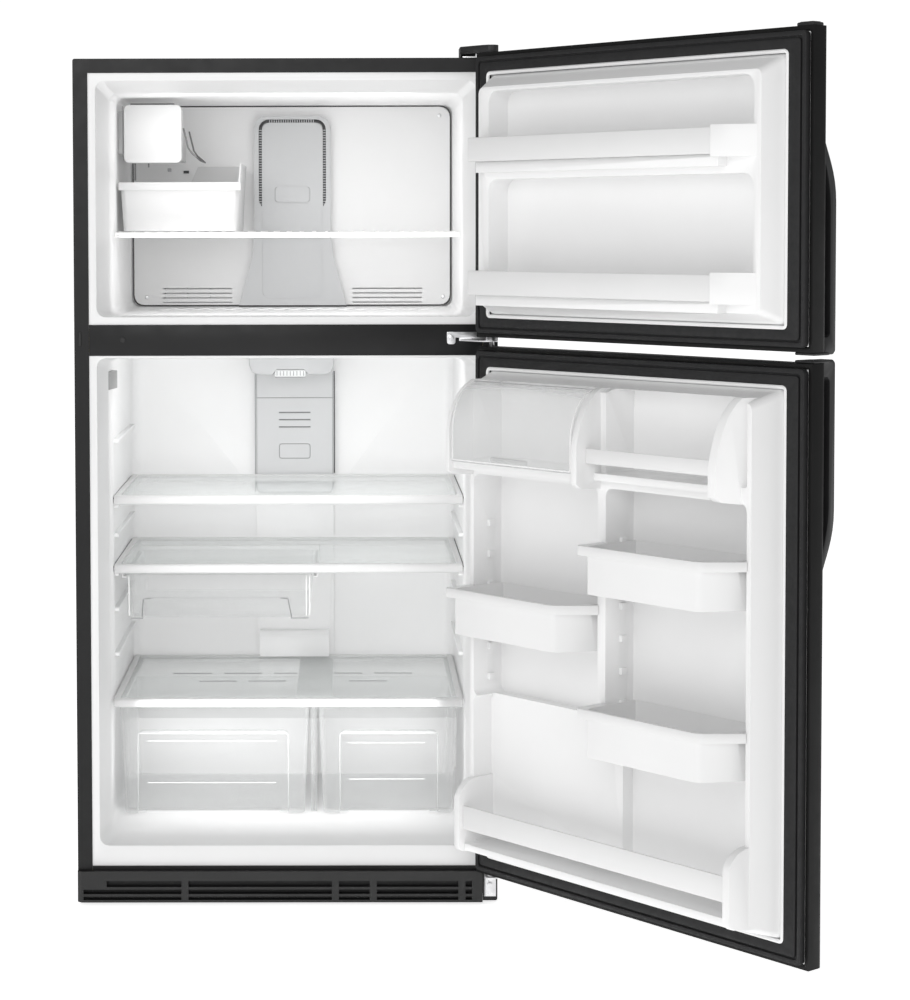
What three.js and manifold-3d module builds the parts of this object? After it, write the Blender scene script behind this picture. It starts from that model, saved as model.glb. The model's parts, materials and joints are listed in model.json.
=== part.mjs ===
// A top freezer refrigerator, 33 inches wide, with both doors standing open.
// Units are millimetres and +Z is up. Each piece is one named mesh.
//
// The cabinet is drawn with its front face on Y = 0, its depth along +Y, its centre on X = 0
// and its bottom edge on Z = 0. Each door is drawn closed in that same space, then its group
// turns about the hinge pins. At the end the whole group moves so that the origin is on the
// floor below the middle of the open refrigerator's box.
import * as THREE from "three";
import { mergeVertices } from "three/addons/utils/BufferGeometryUtils.js";
import Module from "manifold-3d";

const wasm = await Module();
wasm.setup();

// ---------------------------------------------------------------- driving dimensions
const GAP = 0.3; // clearance between pieces that touch
const SHEET = 1.5; // steel sheet

const CABINET = { half: 416, height: 1665, depth: 690 };
const FOOT_HEIGHT = 8; // the cabinet's bottom edge stands this far above the floor

// the black front frame, and the two openings in it
const FRAME = { side: 387, top: 1637, mullionTop: 1144, mullionBottom: 1083, sill: 70 };

// the two liners: half width, floor, ceiling and depth of each food space, the bottom and top
// of the lip at its mouth, and the height of the sill, where the floor is still rising
const FREEZER = { half: 350, lip: [1159, 1622], sill: 1161, floor: 1162, top: 1600, back: 612 };
const FRESH = { half: 356, lip: [110, 1079], sill: 124, floor: 146, top: 1075, back: 612 };
const LINER = { wall: 2.5, lip: 372, tuck: 394, flare: 50, rise: 130, corner: 18, fillet: 24 };
const HUMP = { front: 478, top: 268 }; // the fresh food floor rises over the machine space
const MACHINE = { front: 510, top: 240 };
const FOAM = { front: 5, bottom: 58 };
const FLOOR_PAN_Z = 14;

// hinges and doors
const PIN = { x: 401.5, y: -38.4, radius: 5, bore: 5.4 };
const OPEN_DEGREES = 129.5; // how far both doors stand open
const DOOR = { half: 416, back: -12, edge: 37, bow: 12, skin: 2, lip: 8 };
const FREEZER_DOOR = { bottom: 1121.7, top: 1670.4 };
const FRESH_DOOR = { bottom: 69.8, top: 1102.8 };
const GASKET = { outer: 8.6, hinge: 41, free: 49, level: 38, thick: 11.4, groove: [8, 12] };
const PIN_DEPTH = 14; // how far a pin reaches into a door

// shelves: front and back edge, and the heights of their top faces
const SHELF = { half: 354, front: 140, back: 578, thick: 18 };
const UPPER_SHELF = { ...SHELF, top: 791 };
const MIDDLE_SHELF = { ...SHELF, top: 651 };
const CRISPER_SHELF = { half: 352, top: 386, front: 82, back: 598, thick: 16 };
const GLASS = 4;

// ---------------------------------------------------------------- materials
const material = (color, roughness, metalness = 0, opacity = 1) =>
  new THREE.MeshStandardMaterial({
    color,
    roughness,
    metalness,
    opacity,
    transparent: opacity < 1,
  });
const BLACK_STEEL = material(0x2b2b2c, 0.45, 0.3);
const BLACK_PLASTIC = material(0x262627, 0.5);
const BLACK_RUBBER = material(0x2a2a2a, 0.7);
const WHITE_LINER = material(0xf2f2f1, 0.35);
const WHITE_PLASTIC = material(0xf6f6f5, 0.4);
const GREY_PLASTIC = material(0xb9bbbc, 0.5);
const SWITCH_GREY = material(0x9b9b9b, 0.5);
const CLEAR_PLASTIC = material(0xe9eeee, 0.1, 0, 0.35);
const GLASS_PANE = material(0xe3eeec, 0.05, 0, 0.35);
const ZINC = material(0xc9cacb, 0.35, 0.9);
const COATED_WIRE = material(0xf4f4f2, 0.4);
const ALUMINIUM = material(0xc4c6c8, 0.4, 0.9);
const COPPER = material(0x1d1d1e, 0.5, 0.6);
const COMPRESSOR_BLACK = material(0x161616, 0.4, 0.5);
const FOAM_CREAM = material(0xe8dcb4, 0.95);
const GALVANISED = material(0xa9acad, 0.5, 0.7);

// ---------------------------------------------------------------- shape helpers
const fridge = new THREE.Group();

function solidOf(geometry) {
  const bare = geometry.clone();
  bare.deleteAttribute("normal");
  bare.deleteAttribute("uv");
  const merged = mergeVertices(bare, 1e-4);
  return new wasm.Manifold(
    new wasm.Mesh({
      numProp: 3,
      vertProperties: merged.attributes.position.array,
      triVerts: new Uint32Array(merged.index.array),
    }),
  );
}

function geometryOf(solid) {
  const mesh = solid.getMesh();
  const geometry = new THREE.BufferGeometry();
  geometry.setAttribute("position", new THREE.BufferAttribute(mesh.vertProperties, 3));
  geometry.setIndex(new THREE.BufferAttribute(mesh.triVerts, 1));
  geometry.computeVertexNormals();
  return geometry;
}

const join = (first, ...rest) => rest.reduce((all, next) => all.add(next), first);
const cut = (first, ...rest) => rest.reduce((all, next) => all.subtract(next), first);

// a box between two corners, given as pairs of limits along X, Y and Z
function box([x0, x1], [y0, y1], [z0, z1]) {
  const geometry = new THREE.BoxGeometry(x1 - x0, y1 - y0, z1 - z0);
  geometry.translate((x0 + x1) / 2, (y0 + y1) / 2, (z0 + z1) / 2);
  return solidOf(geometry);
}

// Turns a geometry drawn along +Z so that its X and Y run along the first two axes given.
function turned(geometry, first, second) {
  const axis = { x: [1, 0, 0], y: [0, 1, 0], z: [0, 0, 1] };
  const a = new THREE.Vector3(...axis[first]);
  const b = new THREE.Vector3(...axis[second]);
  const c = new THREE.Vector3().crossVectors(a, b);
  return geometry.applyMatrix4(new THREE.Matrix4().makeBasis(a, b, c));
}

const extrude = (shape, depth, segments = 6) =>
  new THREE.ExtrudeGeometry(shape, { depth, bevelEnabled: false, curveSegments: segments });

// prisms: an outline in one plane, extruded between two levels of the third axis
function prismZ(shape, z0, z1, segments) {
  return solidOf(extrude(shape, z1 - z0, segments).translate(0, 0, z0));
}
function prismX(shape, x0, x1, segments) {
  return solidOf(turned(extrude(shape, x1 - x0, segments), "y", "z").translate(x0, 0, 0));
}
function prismY(shape, y0, y1, segments) {
  return solidOf(turned(extrude(shape, y1 - y0, segments), "x", "z").translate(0, y1, 0));
}

function outline(...points) {
  return new THREE.Shape(points.map(([a, b]) => new THREE.Vector2(a, b)));
}

// the points of a rectangle with rounded corners, anticlockwise
function roundedRect([a0, a1], [b0, b1], radius, steps = 4) {
  const centres = [
    [a1 - radius, b0 + radius, -Math.PI / 2],
    [a1 - radius, b1 - radius, 0],
    [a0 + radius, b1 - radius, Math.PI / 2],
    [a0 + radius, b0 + radius, Math.PI],
  ];
  return centres.flatMap(([a, b, start]) =>
    Array.from({ length: steps + 1 }, (_, i) => {
      const angle = start + (i / steps) * (Math.PI / 2);
      return new THREE.Vector2(a + radius * Math.cos(angle), b + radius * Math.sin(angle));
    }),
  );
}
const roundedShape = (a, b, radius, steps) => new THREE.Shape(roundedRect(a, b, radius, steps));

// A closed skin through a row of outlines with equal point counts, each at its own level
// along +Z. The outlines run anticlockwise and the levels rise.
function loft(sections) {
  const count = sections[0].points.length;
  const position = sections.flatMap(({ points, level }) =>
    points.flatMap((p) => [p.x, p.y, level]),
  );
  const index = [];
  for (let ring = 0; ring + 1 < sections.length; ring += 1) {
    for (let i = 0; i < count; i += 1) {
      const a = ring * count + i;
      const b = ring * count + ((i + 1) % count);
      index.push(a, b, b + count, a, b + count, a + count);
    }
  }
  const bottom = THREE.ShapeUtils.triangulateShape(sections[0].points, []);
  const top = THREE.ShapeUtils.triangulateShape(sections.at(-1).points, []);
  const last = (sections.length - 1) * count;
  bottom.forEach(([a, b, c]) => index.push(c, b, a));
  top.forEach(([a, b, c]) => index.push(last + a, last + b, last + c));
  const geometry = new THREE.BufferGeometry();
  geometry.setAttribute("position", new THREE.Float32BufferAttribute(position, 3));
  geometry.setIndex(index);
  return geometry;
}
// The same with outlines in X and Z, and levels along Y that rise towards the back. Turning
// X and Z onto the outline makes its own axis run to -Y, so the levels are reversed.
function loftY(sections) {
  const flipped = sections.map(({ points, level }) => ({ points, level: -level })).reverse();
  return solidOf(turned(loft(flipped), "x", "z"));
}

function rod(radius, length, sides = 16) {
  return new THREE.CylinderGeometry(radius, radius, length, sides);
}
const rodX = ([x0, x1], y, z, radius, sides) =>
  solidOf(rod(radius, x1 - x0, sides).rotateZ(Math.PI / 2).translate((x0 + x1) / 2, y, z));
const rodY = (x, [y0, y1], z, radius, sides) =>
  solidOf(rod(radius, y1 - y0, sides).translate(x, (y0 + y1) / 2, z));
const rodZ = (x, y, [z0, z1], radius, sides) =>
  solidOf(rod(radius, z1 - z0, sides).rotateX(Math.PI / 2).translate(x, y, (z0 + z1) / 2));

// a round bar along a bent line
function bentRod(points, radius, steps, sides = 8) {
  const path = new THREE.CurvePath();
  const corners = points.map((p) => new THREE.Vector3(...p));
  for (let i = 0; i + 1 < corners.length; i += 1) {
    path.add(new THREE.LineCurve3(corners[i], corners[i + 1]));
  }
  const section = new THREE.Shape(
    Array.from({ length: sides }, (_, i) => {
      const angle = (i / sides) * 2 * Math.PI;
      return new THREE.Vector2(radius * Math.cos(angle), radius * Math.sin(angle));
    }),
  );
  return solidOf(new THREE.ExtrudeGeometry(section, { steps, extrudePath: path }));
}

function add(group, name, solid, look) {
  const mesh = new THREE.Mesh(geometryOf(solid), look);
  mesh.name = name;
  group.add(mesh);
  return mesh;
}

// ---------------------------------------------------------------- cabinet body
function cabinetWrapper() {
  const { half, height, depth } = CABINET;
  const block = prismY(roundedShape([-half, half], [0, height], 4, 3), 0, depth);
  const inside = box([-half + SHEET, half - SHEET], [SHEET, depth + 1], [-1, height - SHEET]);
  const doorway = box([-FRAME.side, FRAME.side], [-1, SHEET + 1], [-1, FRAME.top]);
  return cut(block, inside, doorway);
}

function mullionBar() {
  const across = [-FRAME.side + GAP, FRAME.side - GAP];
  const face = box(across, [0, SHEET], [FRAME.mullionBottom, FRAME.mullionTop]);
  const web = box([across[0] + 8, across[1] - 8], [SHEET - 0.5, 18], [1097, 1130]);
  return join(face, web);
}

// A liner is a thin box open at the front. Its flange tucks behind the black frame, its lip
// flares in to the walls, and its walls run straight to a rounded back.
function linerSections(space, grow, frontY) {
  const section = (half, bottom, top, level) => ({
    points: roundedRect([-half - grow, half + grow], [bottom - grow, top + grow], LINER.corner),
    level,
  });
  const wall = (floor, level) => section(space.half, floor, space.top, level);
  const lip = (level) => section(LINER.lip, ...space.lip, level);
  const rounding = [0, 1, 2, 3].map((i) => {
    const angle = (i / 3) * (Math.PI / 2);
    const inset = LINER.fillet * (1 - Math.cos(angle));
    const level = space.back + grow - LINER.fillet * (1 - Math.sin(angle));
    return section(space.half - inset, space.floor, space.top, level);
  });
  return [
    lip(frontY),
    lip(FOAM.front),
    wall(space.sill, LINER.flare),
    wall(space.floor, LINER.rise),
    ...rounding,
  ];
}

function linerFlange(opening) {
  const tuck = [opening[0] - 7, opening[1] + 7];
  return box([-LINER.tuck, LINER.tuck], [2, 4.5], tuck);
}

function liner(space, opening) {
  const outer = join(loftY(linerSections(space, LINER.wall, 2.2)), linerFlange(opening));
  return cut(outer, loftY(linerSections(space, 0, 1)));
}

const FREEZER_OPENING = [FRAME.mullionTop, FRAME.top];
const FRESH_OPENING = [FRAME.sill, FRAME.mullionBottom];

function freezerLiner() {
  return liner(FREEZER, FREEZER_OPENING);
}

const LEDGE = { front: 168, back: 556, depth: 9, height: 9 };
const SPARE_LEDGES = [905, 712, 560, 468]; // heights where a shelf could also go
const LEDGE_TOPS = [
  ...[UPPER_SHELF, MIDDLE_SHELF, CRISPER_SHELF].map(({ top, thick }) => top - thick - GAP),
  ...SPARE_LEDGES,
];

function shelfLedges() {
  return LEDGE_TOPS.flatMap((top) =>
    [-1, 1].map((side) => {
      const limits = [side * (FRESH.half + 1), side * (FRESH.half - LEDGE.depth)];
      const profile = roundedShape([LEDGE.front, LEDGE.back], [top - LEDGE.height, top], 4, 2);
      return prismX(profile, Math.min(...limits), Math.max(...limits));
    }),
  );
}

const DUCT = { left: -82, right: 90 }; // the air column up the middle of the back wall
// the door switch: a wedge in the left wall that stands out most at its far end
const SWITCH = { y: [68, 140], z: [1011, 1047], reach: [-371, -356], proud: -345 };
const TOWER_BOTTOM = 748;

function grown([low, high], by) {
  return [low - by, high + by];
}

function freshFoodLiner() {
  const shell = liner(FRESH, FRESH_OPENING);
  const around = loftY(linerSections(FRESH, LINER.wall, 2.2));
  const hump = box(
    [-FRESH.half - 1, FRESH.half + 1],
    [HUMP.front, FRESH.back + 1],
    [FRESH.floor - 1, HUMP.top],
  ).intersect(around);
  const humpCore = box(
    [-FRESH.half - 5, FRESH.half + 5],
    [HUMP.front + LINER.wall, FRESH.back + 5],
    [FRESH.floor - 5, HUMP.top - LINER.wall],
  );
  const column = box(
    [DUCT.left, DUCT.right],
    [FRESH.back - 9, FRESH.back + 1],
    [HUMP.top - 1, TOWER_BOTTOM - 3],
  );
  const outlet = prismX(
    outline([FRESH.back + 1, 386], [FRESH.back + 1, 442], [580, 442], [572, 430], [572, 386]),
    -74,
    79,
  );
  const window = box(SWITCH.reach, grown(SWITCH.y, GAP), grown(SWITCH.z, GAP));
  const solid = join(shell, hump, column, outlet, ...shelfLedges());
  return cut(solid, humpCore, window);
}

function cabinetFoam() {
  const side = CABINET.half - SHEET - GAP;
  const block = box(
    [-side, side],
    [FOAM.front, CABINET.depth - SHEET - GAP],
    [FOAM.bottom, CABINET.height - SHEET - GAP],
  );
  const room = LINER.wall + GAP;
  const freezer = loftY(linerSections(FREEZER, room, 1));
  const fresh = loftY(linerSections(FRESH, room, 1));
  const hump = box(
    [-side, side],
    [HUMP.front + LINER.wall + GAP, FRESH.back + 10],
    [FRESH.floor - 10, HUMP.top - LINER.wall - GAP],
  );
  const machine = box([-side - 1, side + 1], [MACHINE.front, 700], [0, MACHINE.top]);
  const web = box([-380, 380], [0, 18 + GAP], [1096, 1131]);
  const switchPocket = box([SWITCH.reach[0] - 8, -340], grown(SWITCH.y, 1), grown(SWITCH.z, 1));
  return cut(block, freezer, cut(fresh, hump), machine, web, switchPocket);
}

function backPanel() {
  const side = CABINET.half - SHEET - GAP;
  const plate = box(
    [-side, side],
    [CABINET.depth - SHEET, CABINET.depth],
    [MACHINE.top + 3, CABINET.height - SHEET - GAP],
  );
  const swage = (z) => box([-side + 60, side - 60], [CABINET.depth - 0.2, CABINET.depth + 0.8], z);
  return join(plate, swage([600, 640]), swage([1240, 1280]));
}

function machineCover() {
  const plate = box([-400, 400], [CABINET.depth - SHEET, CABINET.depth], [26, MACHINE.top]);
  const slot = (column, row) => {
    const x = -330 + column * 110;
    const z = 70 + row * 22;
    return box([x, x + 80], [CABINET.depth - 5, CABINET.depth + 5], [z, z + 9]);
  };
  const slots = [0, 1, 2, 3, 4, 5, 6].flatMap((column) =>
    [0, 1, 2, 3, 4].map((row) => slot(column, row)),
  );
  return cut(plate, ...slots.filter((_, i) => i % 7 !== 3));
}

const ROLLER = { x: 340, y: 640, radius: 22, width: 20, axle: 4 };
const FOOT = { x: 366, y: 45, rod: 5, pad: 17 };

function rollerFork(side) {
  const x = side * ROLLER.x;
  const z = ROLLER.radius - FOOT_HEIGHT;
  const ear = (at) =>
    join(
      box([at - 1.5, at + 1.5], [ROLLER.y - 10, ROLLER.y + 10], [z - 9, FLOOR_PAN_Z + 22]),
      box([at - 1.5, at + 1.5], [ROLLER.y - 34, ROLLER.y + 34], [FLOOR_PAN_Z, FLOOR_PAN_Z + 12]),
    );
  const axle = rodX([x - 14, x + 14], ROLLER.y, z, ROLLER.axle, 12);
  return join(ear(x - 13), ear(x + 13), axle);
}

function basePan() {
  const side = CABINET.half - SHEET - GAP;
  const back = CABINET.depth - SHEET - GAP;
  const floor = [FLOOR_PAN_Z, FLOOR_PAN_Z + SHEET];
  const front = [-FRAME.side + GAP, FRAME.side - GAP];
  const plate = join(
    box([-side, side], [SHEET + GAP, back], floor),
    box(front, [0.5, 20], floor),
    box(front, [0, SHEET], [FLOOR_PAN_Z, FRAME.sill]),
  );
  const wells = [-1, 1].map((s) =>
    box(
      [s * ROLLER.x - 11.5, s * ROLLER.x + 11.5],
      [ROLLER.y - 26, ROLLER.y + 26],
      [FLOOR_PAN_Z - 1, FLOOR_PAN_Z + 5],
    ),
  );
  const footHoles = [-1, 1].map((s) => rodZ(s * FOOT.x, FOOT.y, [0, 60], FOOT.rod + 0.4, 16));
  const nuts = [-1, 1].map((s) =>
    rodZ(s * FOOT.x, FOOT.y, [FLOOR_PAN_Z + 1, FLOOR_PAN_Z + 14], 11, 6),
  );
  return cut(join(plate, ...nuts, rollerFork(-1), rollerFork(1)), ...wells, ...footHoles);
}

function levellingFoot(side) {
  const x = side * FOOT.x;
  const screw = rodZ(x, FOOT.y, [-2, 50], FOOT.rod, 16);
  const pad = rodZ(x, FOOT.y, [-FOOT_HEIGHT, -2], FOOT.pad, 24);
  const hex = rodZ(x, FOOT.y, [-3, 5], 9, 6);
  return join(pad, hex, screw);
}

function rearRoller(side) {
  const x = side * ROLLER.x;
  const z = ROLLER.radius - FOOT_HEIGHT;
  const half = ROLLER.width / 2;
  const tyre = rodX([x - half, x + half], ROLLER.y, z, ROLLER.radius, 32);
  const bore = rodX([x - half - 1, x + half + 1], ROLLER.y, z, ROLLER.axle + 0.3, 12);
  return cut(tyre, bore);
}

const GRILLE = { back: -GAP, front: -14, top: 62, left: -416, right: 386, rib: 14 };
const GRILLE_RIBS = [-203, 94.7, 169.7, 345];

function toeGrille() {
  const { left, right, front, back, top } = GRILLE;
  const bar = prismZ(
    outline([left + 8, front], [right, front], [right, back], [left, back], [left, front + 8]),
    0,
    top,
  );
  const row = (start, z) => {
    const edges = [start, ...GRILLE_RIBS, right - GRILLE.rib];
    return edges.slice(1).map((edge, i) => {
      const from = i === 0 ? start : edges[i] + GRILLE.rib / 2;
      return box([from, edge - GRILLE.rib / 2], [front - 1, back + 1], z);
    });
  };
  const slots = [...row(-358, [31, 43]), ...row(-404, [17, 26]), ...row(-404, [5, 12])];
  return cut(bar, ...slots);
}

// ---------------------------------------------------------------- hinges
function screwHead(x, y, z, axis) {
  if (axis === "y") return rodY(x, [y - 2.2, y + 0.4], z, 4.6, 12);
  return rodZ(x, y, [z - 0.4, z + 2.2], 4.6, 12);
}

const TOP_HINGE_ARM_Z = 1672;

function topHinge() {
  const plateZ = [CABINET.height + GAP, CABINET.height + GAP + 2.5];
  const plate = box([347, 404], [3, 56], plateZ);
  const riser = box([372, 404], [0, 4], [plateZ[0], TOP_HINGE_ARM_Z + 3]);
  const arm = prismZ(
    outline([372, 4], [384, -44], [394, -50], [408, -50], [411, -44], [411, 0], [404, 4]),
    TOP_HINGE_ARM_Z,
    TOP_HINGE_ARM_Z + 3,
  );
  const pin = rodZ(
    PIN.x,
    PIN.y,
    [FREEZER_DOOR.top - PIN_DEPTH + 1, TOP_HINGE_ARM_Z + 1],
    PIN.radius,
  );
  const screwPlaces = [
    [356, 18],
    [356, 44],
    [390, 44],
  ];
  const screws = screwPlaces.map(([x, y]) => screwHead(x, y, plateZ[1], "z"));
  return join(plate, riser, arm, pin, ...screws);
}

function hingeCover() {
  const plan = (inset) =>
    outline(
      [342 + inset, 64 - inset],
      [342 + inset, inset],
      [383 + inset, -50 + inset],
      [394, -58 + inset],
      [406, -58 + inset],
      [413.5 - inset, -50],
      [413.5 - inset, 64 - inset],
    );
  const top = 1686;
  const low = FREEZER_DOOR.top + 1;
  const canopy = prismZ(plan(0), low, top);
  const skirt = box([342, 413.5], [GAP, 64], [CABINET.height + GAP, low + 1]);
  const inner = join(
    prismZ(plan(2), low - 2, top - 2),
    box([344, 411.5], [-4, 62], [CABINET.height - 1, low + 1]),
  );
  return cut(join(canopy, skirt), inner);
}

const CENTRE_ARM_Z = 1111.5;

function centreHinge() {
  const y = [-2.8, -GAP];
  const screw = { x: 324.5, z: 1117 };
  const plate = box([316, 375], y, [1118, 1129]);
  const lobe = prismY(roundedShape([316, 333], [1105, 1129.5], 5, 3), ...y);
  const webPlate = box([340, 408], y, [CENTRE_ARM_Z, 1119]);
  const arm = prismZ(
    outline([340, -GAP], [380, -46], [392, -52], [408, -52], [413, -46], [413, -GAP]),
    CENTRE_ARM_Z,
    CENTRE_ARM_Z + 3,
  );
  const pinZ = [FRESH_DOOR.top - PIN_DEPTH + 1, FREEZER_DOOR.bottom + PIN_DEPTH - 1];
  const pin = rodZ(PIN.x, PIN.y, pinZ, PIN.radius);
  const washer = rodZ(PIN.x, PIN.y, [CENTRE_ARM_Z + 2, FREEZER_DOOR.bottom - 1], 11, 20);
  return join(plate, lobe, webPlate, arm, pin, washer, screwHead(screw.x, y[0], screw.z, "y"));
}

function bottomHinge() {
  const armZ = [56, 60];
  const plate = box([389, 413], [-3.3, -GAP], [9, 60]);
  const arm = prismZ(
    outline([388, -GAP], [388, -46], [394, -52], [408, -52], [413.5, -46], [413.5, -GAP]),
    ...armZ,
  );
  const pin = rodZ(PIN.x, PIN.y, [58, FRESH_DOOR.bottom + PIN_DEPTH - 1], PIN.radius);
  const washer = rodZ(PIN.x, PIN.y, [armZ[1] - 1, FRESH_DOOR.bottom - 1], 9, 20);
  return join(plate, arm, pin, washer, screwHead(400.5, -3.3, 33, "y"));
}

// ---------------------------------------------------------------- machine space
function compressor() {
  const x = 210;
  const y = 598;
  const floor = FLOOR_PAN_Z + SHEET + GAP;
  const profile = [
    [0, 22],
    [60, 22],
    [74, 40],
    [76, 100],
    [68, 132],
    [40, 150],
    [0, 156],
  ].map(([r, z]) => new THREE.Vector2(r, z));
  const pot = new THREE.LatheGeometry(profile, 24).rotateX(Math.PI / 2).translate(x, y, 0);
  const base = box([x - 80, x + 80], [y - 60, y + 60], [floor + 12, floor + 15]);
  const feet = [-1, 1].flatMap((i) =>
    [-1, 1].map((j) => rodZ(x + i * 68, y + j * 48, [floor, floor + 13], 9, 12)),
  );
  return join(solidOf(pot), base, ...feet);
}

// the condenser: a flat tube that folds up and down beside its fan
function condenserCoil() {
  const rows = 7;
  const pitch = 30;
  const x = -322;
  const tube = [0, 1].flatMap((layer) =>
    Array.from({ length: rows }, (_, i) => {
      const z = FLOOR_PAN_Z + 12 + i * pitch;
      const y = 560 + layer * 60;
      return box([x, x + 200], [y, y + 6], [z, z + 6]);
    }),
  );
  const posts = [x, x + 197].flatMap((at) => [
    box([at, at + 3], [552, 634], [FLOOR_PAN_Z + SHEET + GAP, FLOOR_PAN_Z + 206]),
  ]);
  return join(...tube, ...posts);
}

const FAN_SHAFT = 3;

function fanBlades(hubRadius, bladeRadius, depth, blades) {
  const hub = solidOf(rod(hubRadius, depth, 20));
  const bore = solidOf(rod(FAN_SHAFT + 0.4, depth + 12, 8));
  const paddle = (i) => {
    const shape = new THREE.BoxGeometry(bladeRadius - hubRadius + 4, 2, hubRadius * 1.9);
    shape.rotateX(0.5);
    shape.translate((bladeRadius + hubRadius) / 2 - 2, 0, 0);
    return solidOf(shape.rotateY((i / blades) * 2 * Math.PI));
  };
  return cut(join(hub, ...Array.from({ length: blades }, (_, i) => paddle(i))), bore);
}

const CONDENSER_FAN = { x: -70, y: 600, z: 118 };
const EVAPORATOR_FAN = { x: 2, y: 566, z: 1480 };

function condenserFanMotor() {
  const { x, y, z } = CONDENSER_FAN;
  const can = rodX([x + 14, x + 60], y, z, 26, 20);
  const shaft = rodX([x - 4, x + 16], y, z, FAN_SHAFT, 8);
  const post = box([x + 40, x + 43], [y - 40, y + 40], [FLOOR_PAN_Z + SHEET + GAP, z]);
  return join(can, shaft, post);
}

// ---------------------------------------------------------------- freezer inside
const COVER = { front: 543, back: 547, half: 345 };

function evaporatorCover() {
  const panel = prismY(
    roundedShape([-COVER.half, COVER.half], [FREEZER.floor + 3, FREEZER.top - 3], 24, 4),
    COVER.front,
    COVER.back,
  );
  const louvres = [-283, 132].flatMap((x) =>
    [0, 1, 2, 3].map((i) => {
      const z = 1170 + i * 10;
      return box([x, x + 152], [COVER.front - 1, COVER.back + 1], [z, z + 3]);
    }),
  );
  const returnVent = box([-60, 60], [COVER.front - 1, COVER.back + 1], [1440, 1520]);
  return cut(panel, ...louvres, returnVent);
}

// the tall grey duct in front of the cover: its middle, its front face, and its half width at
// each level from its wide foot to its rounded top
const DUCT_TOWER = { x: 2, front: 516 };
const DUCT_TOWER_SIDE = [
  [117, 1166],
  [104, 1215],
  [90, 1265],
  [83, 1320],
  [83, 1552],
  [77, 1568],
  [62, 1576],
];

// its face is set back behind a groove that runs round the top, and has an empty label frame
function freezerAirTower() {
  const { x, front } = DUCT_TOWER;
  const back = COVER.front - GAP;
  const side = (way) => DUCT_TOWER_SIDE.map(([half, z]) => [x + way * half, z]);
  const duct = prismY(outline(...side(1), ...side(-1).reverse()), front, back);
  const hollow = box([x - 55, x + 55], [front + 4, back + 1], [1240, 1530]);
  const face = prismY(roundedShape([x - 66, x + 66], [1180, 1562], 18, 4), front - 1, front + 3);
  const bezel = prismY(roundedShape([x - 36, x + 36], [1390, 1423], 6, 3), front, front + 4);
  const vent = cut(
    prismY(roundedShape([x - 73, x + 73], [1374, 1569], 22, 4), front - 1, front + 8),
    prismY(roundedShape([x - 66, x + 66], [1300, 1562], 18, 4), front - 2, front + 9),
  );
  return cut(join(cut(duct, face), bezel), hollow, vent);
}

function evaporatorCoil() {
  const x = [-290, 290];
  const y = [556, 604];
  const z = [1180, 1330];
  const fins = Array.from({ length: 12 }, (_, i) => {
    const at = x[0] + 8 + i * 50;
    return box([at, at + 1.5], y, z);
  });
  const tubes = [1205, 1290].map((at) => box(x, [568, 592], [at, at + 9]));
  return join(...tubes, ...fins);
}

function evaporatorFanMotor() {
  const { x, z } = EVAPORATOR_FAN;
  const can = rodY(x, [580, 606], z, 24, 20);
  const shaft = rodY(x, [562, 582], z, FAN_SHAFT, 8);
  const bracket = box([x - 80, x + 80], [596, 599], [z - 10, z + 10]);
  return join(can, shaft, bracket);
}

const WIRE = { x: 346, front: 120, back: 505, top: 1327, thick: 4, pitch: 26, count: 26 };

// the freezer shelf: a grid of front-to-back wires on three cross bars
function wireShelf() {
  const { x, front, back, top, thick, pitch, count } = WIRE;
  const plate = box([-x, x], [front, back], [top - thick, top]);
  const gaps = Array.from({ length: count - 1 }, (_, i) => {
    const left = (i - (count - 1) / 2) * pitch + thick / 2;
    return box([left, left + pitch - thick], [front + 6, back - 6], [top - 9, top + 1]);
  });
  const bar = (y) => box([-x + 1, x - 1], [y, y + 6], [top - 11, top - 3]);
  const bars = [front + 1, 300, back - 7].map(bar);
  return join(cut(plate, ...gaps), ...bars);
}

const ICE_MAKER = { x: [-334, -217], y: [200, 440], z: [1467, 1585] };

function iceMaker() {
  const { x, y, z } = ICE_MAKER;
  const cover = prismY(roundedShape(x, z, 10, 3), y[0], y[0] + 46);
  const mould = box([x[0] + 8, x[1] - 6], [y[0] + 40, y[1]], [z[0] + 6, z[0] + 62]);
  const cups = [0, 1, 2, 3, 4, 5, 6].map((i) => {
    const at = y[0] + 52 + i * 26;
    return box([x[0] + 18, x[1] - 16], [at, at + 20], [z[0] + 30, z[0] + 70]);
  });
  const wall = -FREEZER.half + GAP;
  const bracket = box([wall, x[0] + 9], [y[0] + 40, y[1]], [z[0] + 20, z[1] - 12]);
  return join(cut(mould, ...cups), cover, bracket);
}

const ICE_ARM = { x: -213.5, z: 1538, radius: 1.75 };

function iceMakerArm() {
  const { x, z, radius } = ICE_ARM;
  const [front, back] = [212, 392];
  const wire = [
    [x, front, z],
    [x + 11, front, z - 46],
    [x + 34, front, z - 66],
    [x + 34, back, z - 66],
    [x + 11, back, z - 46],
    [x, back, z],
  ];
  return bentRod(wire, radius, 24, 8);
}

const ICE_BIN = { x: [-344, -96], y: [184, 492], floor: 1327.6, front: 1427, side: 1466 };

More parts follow.
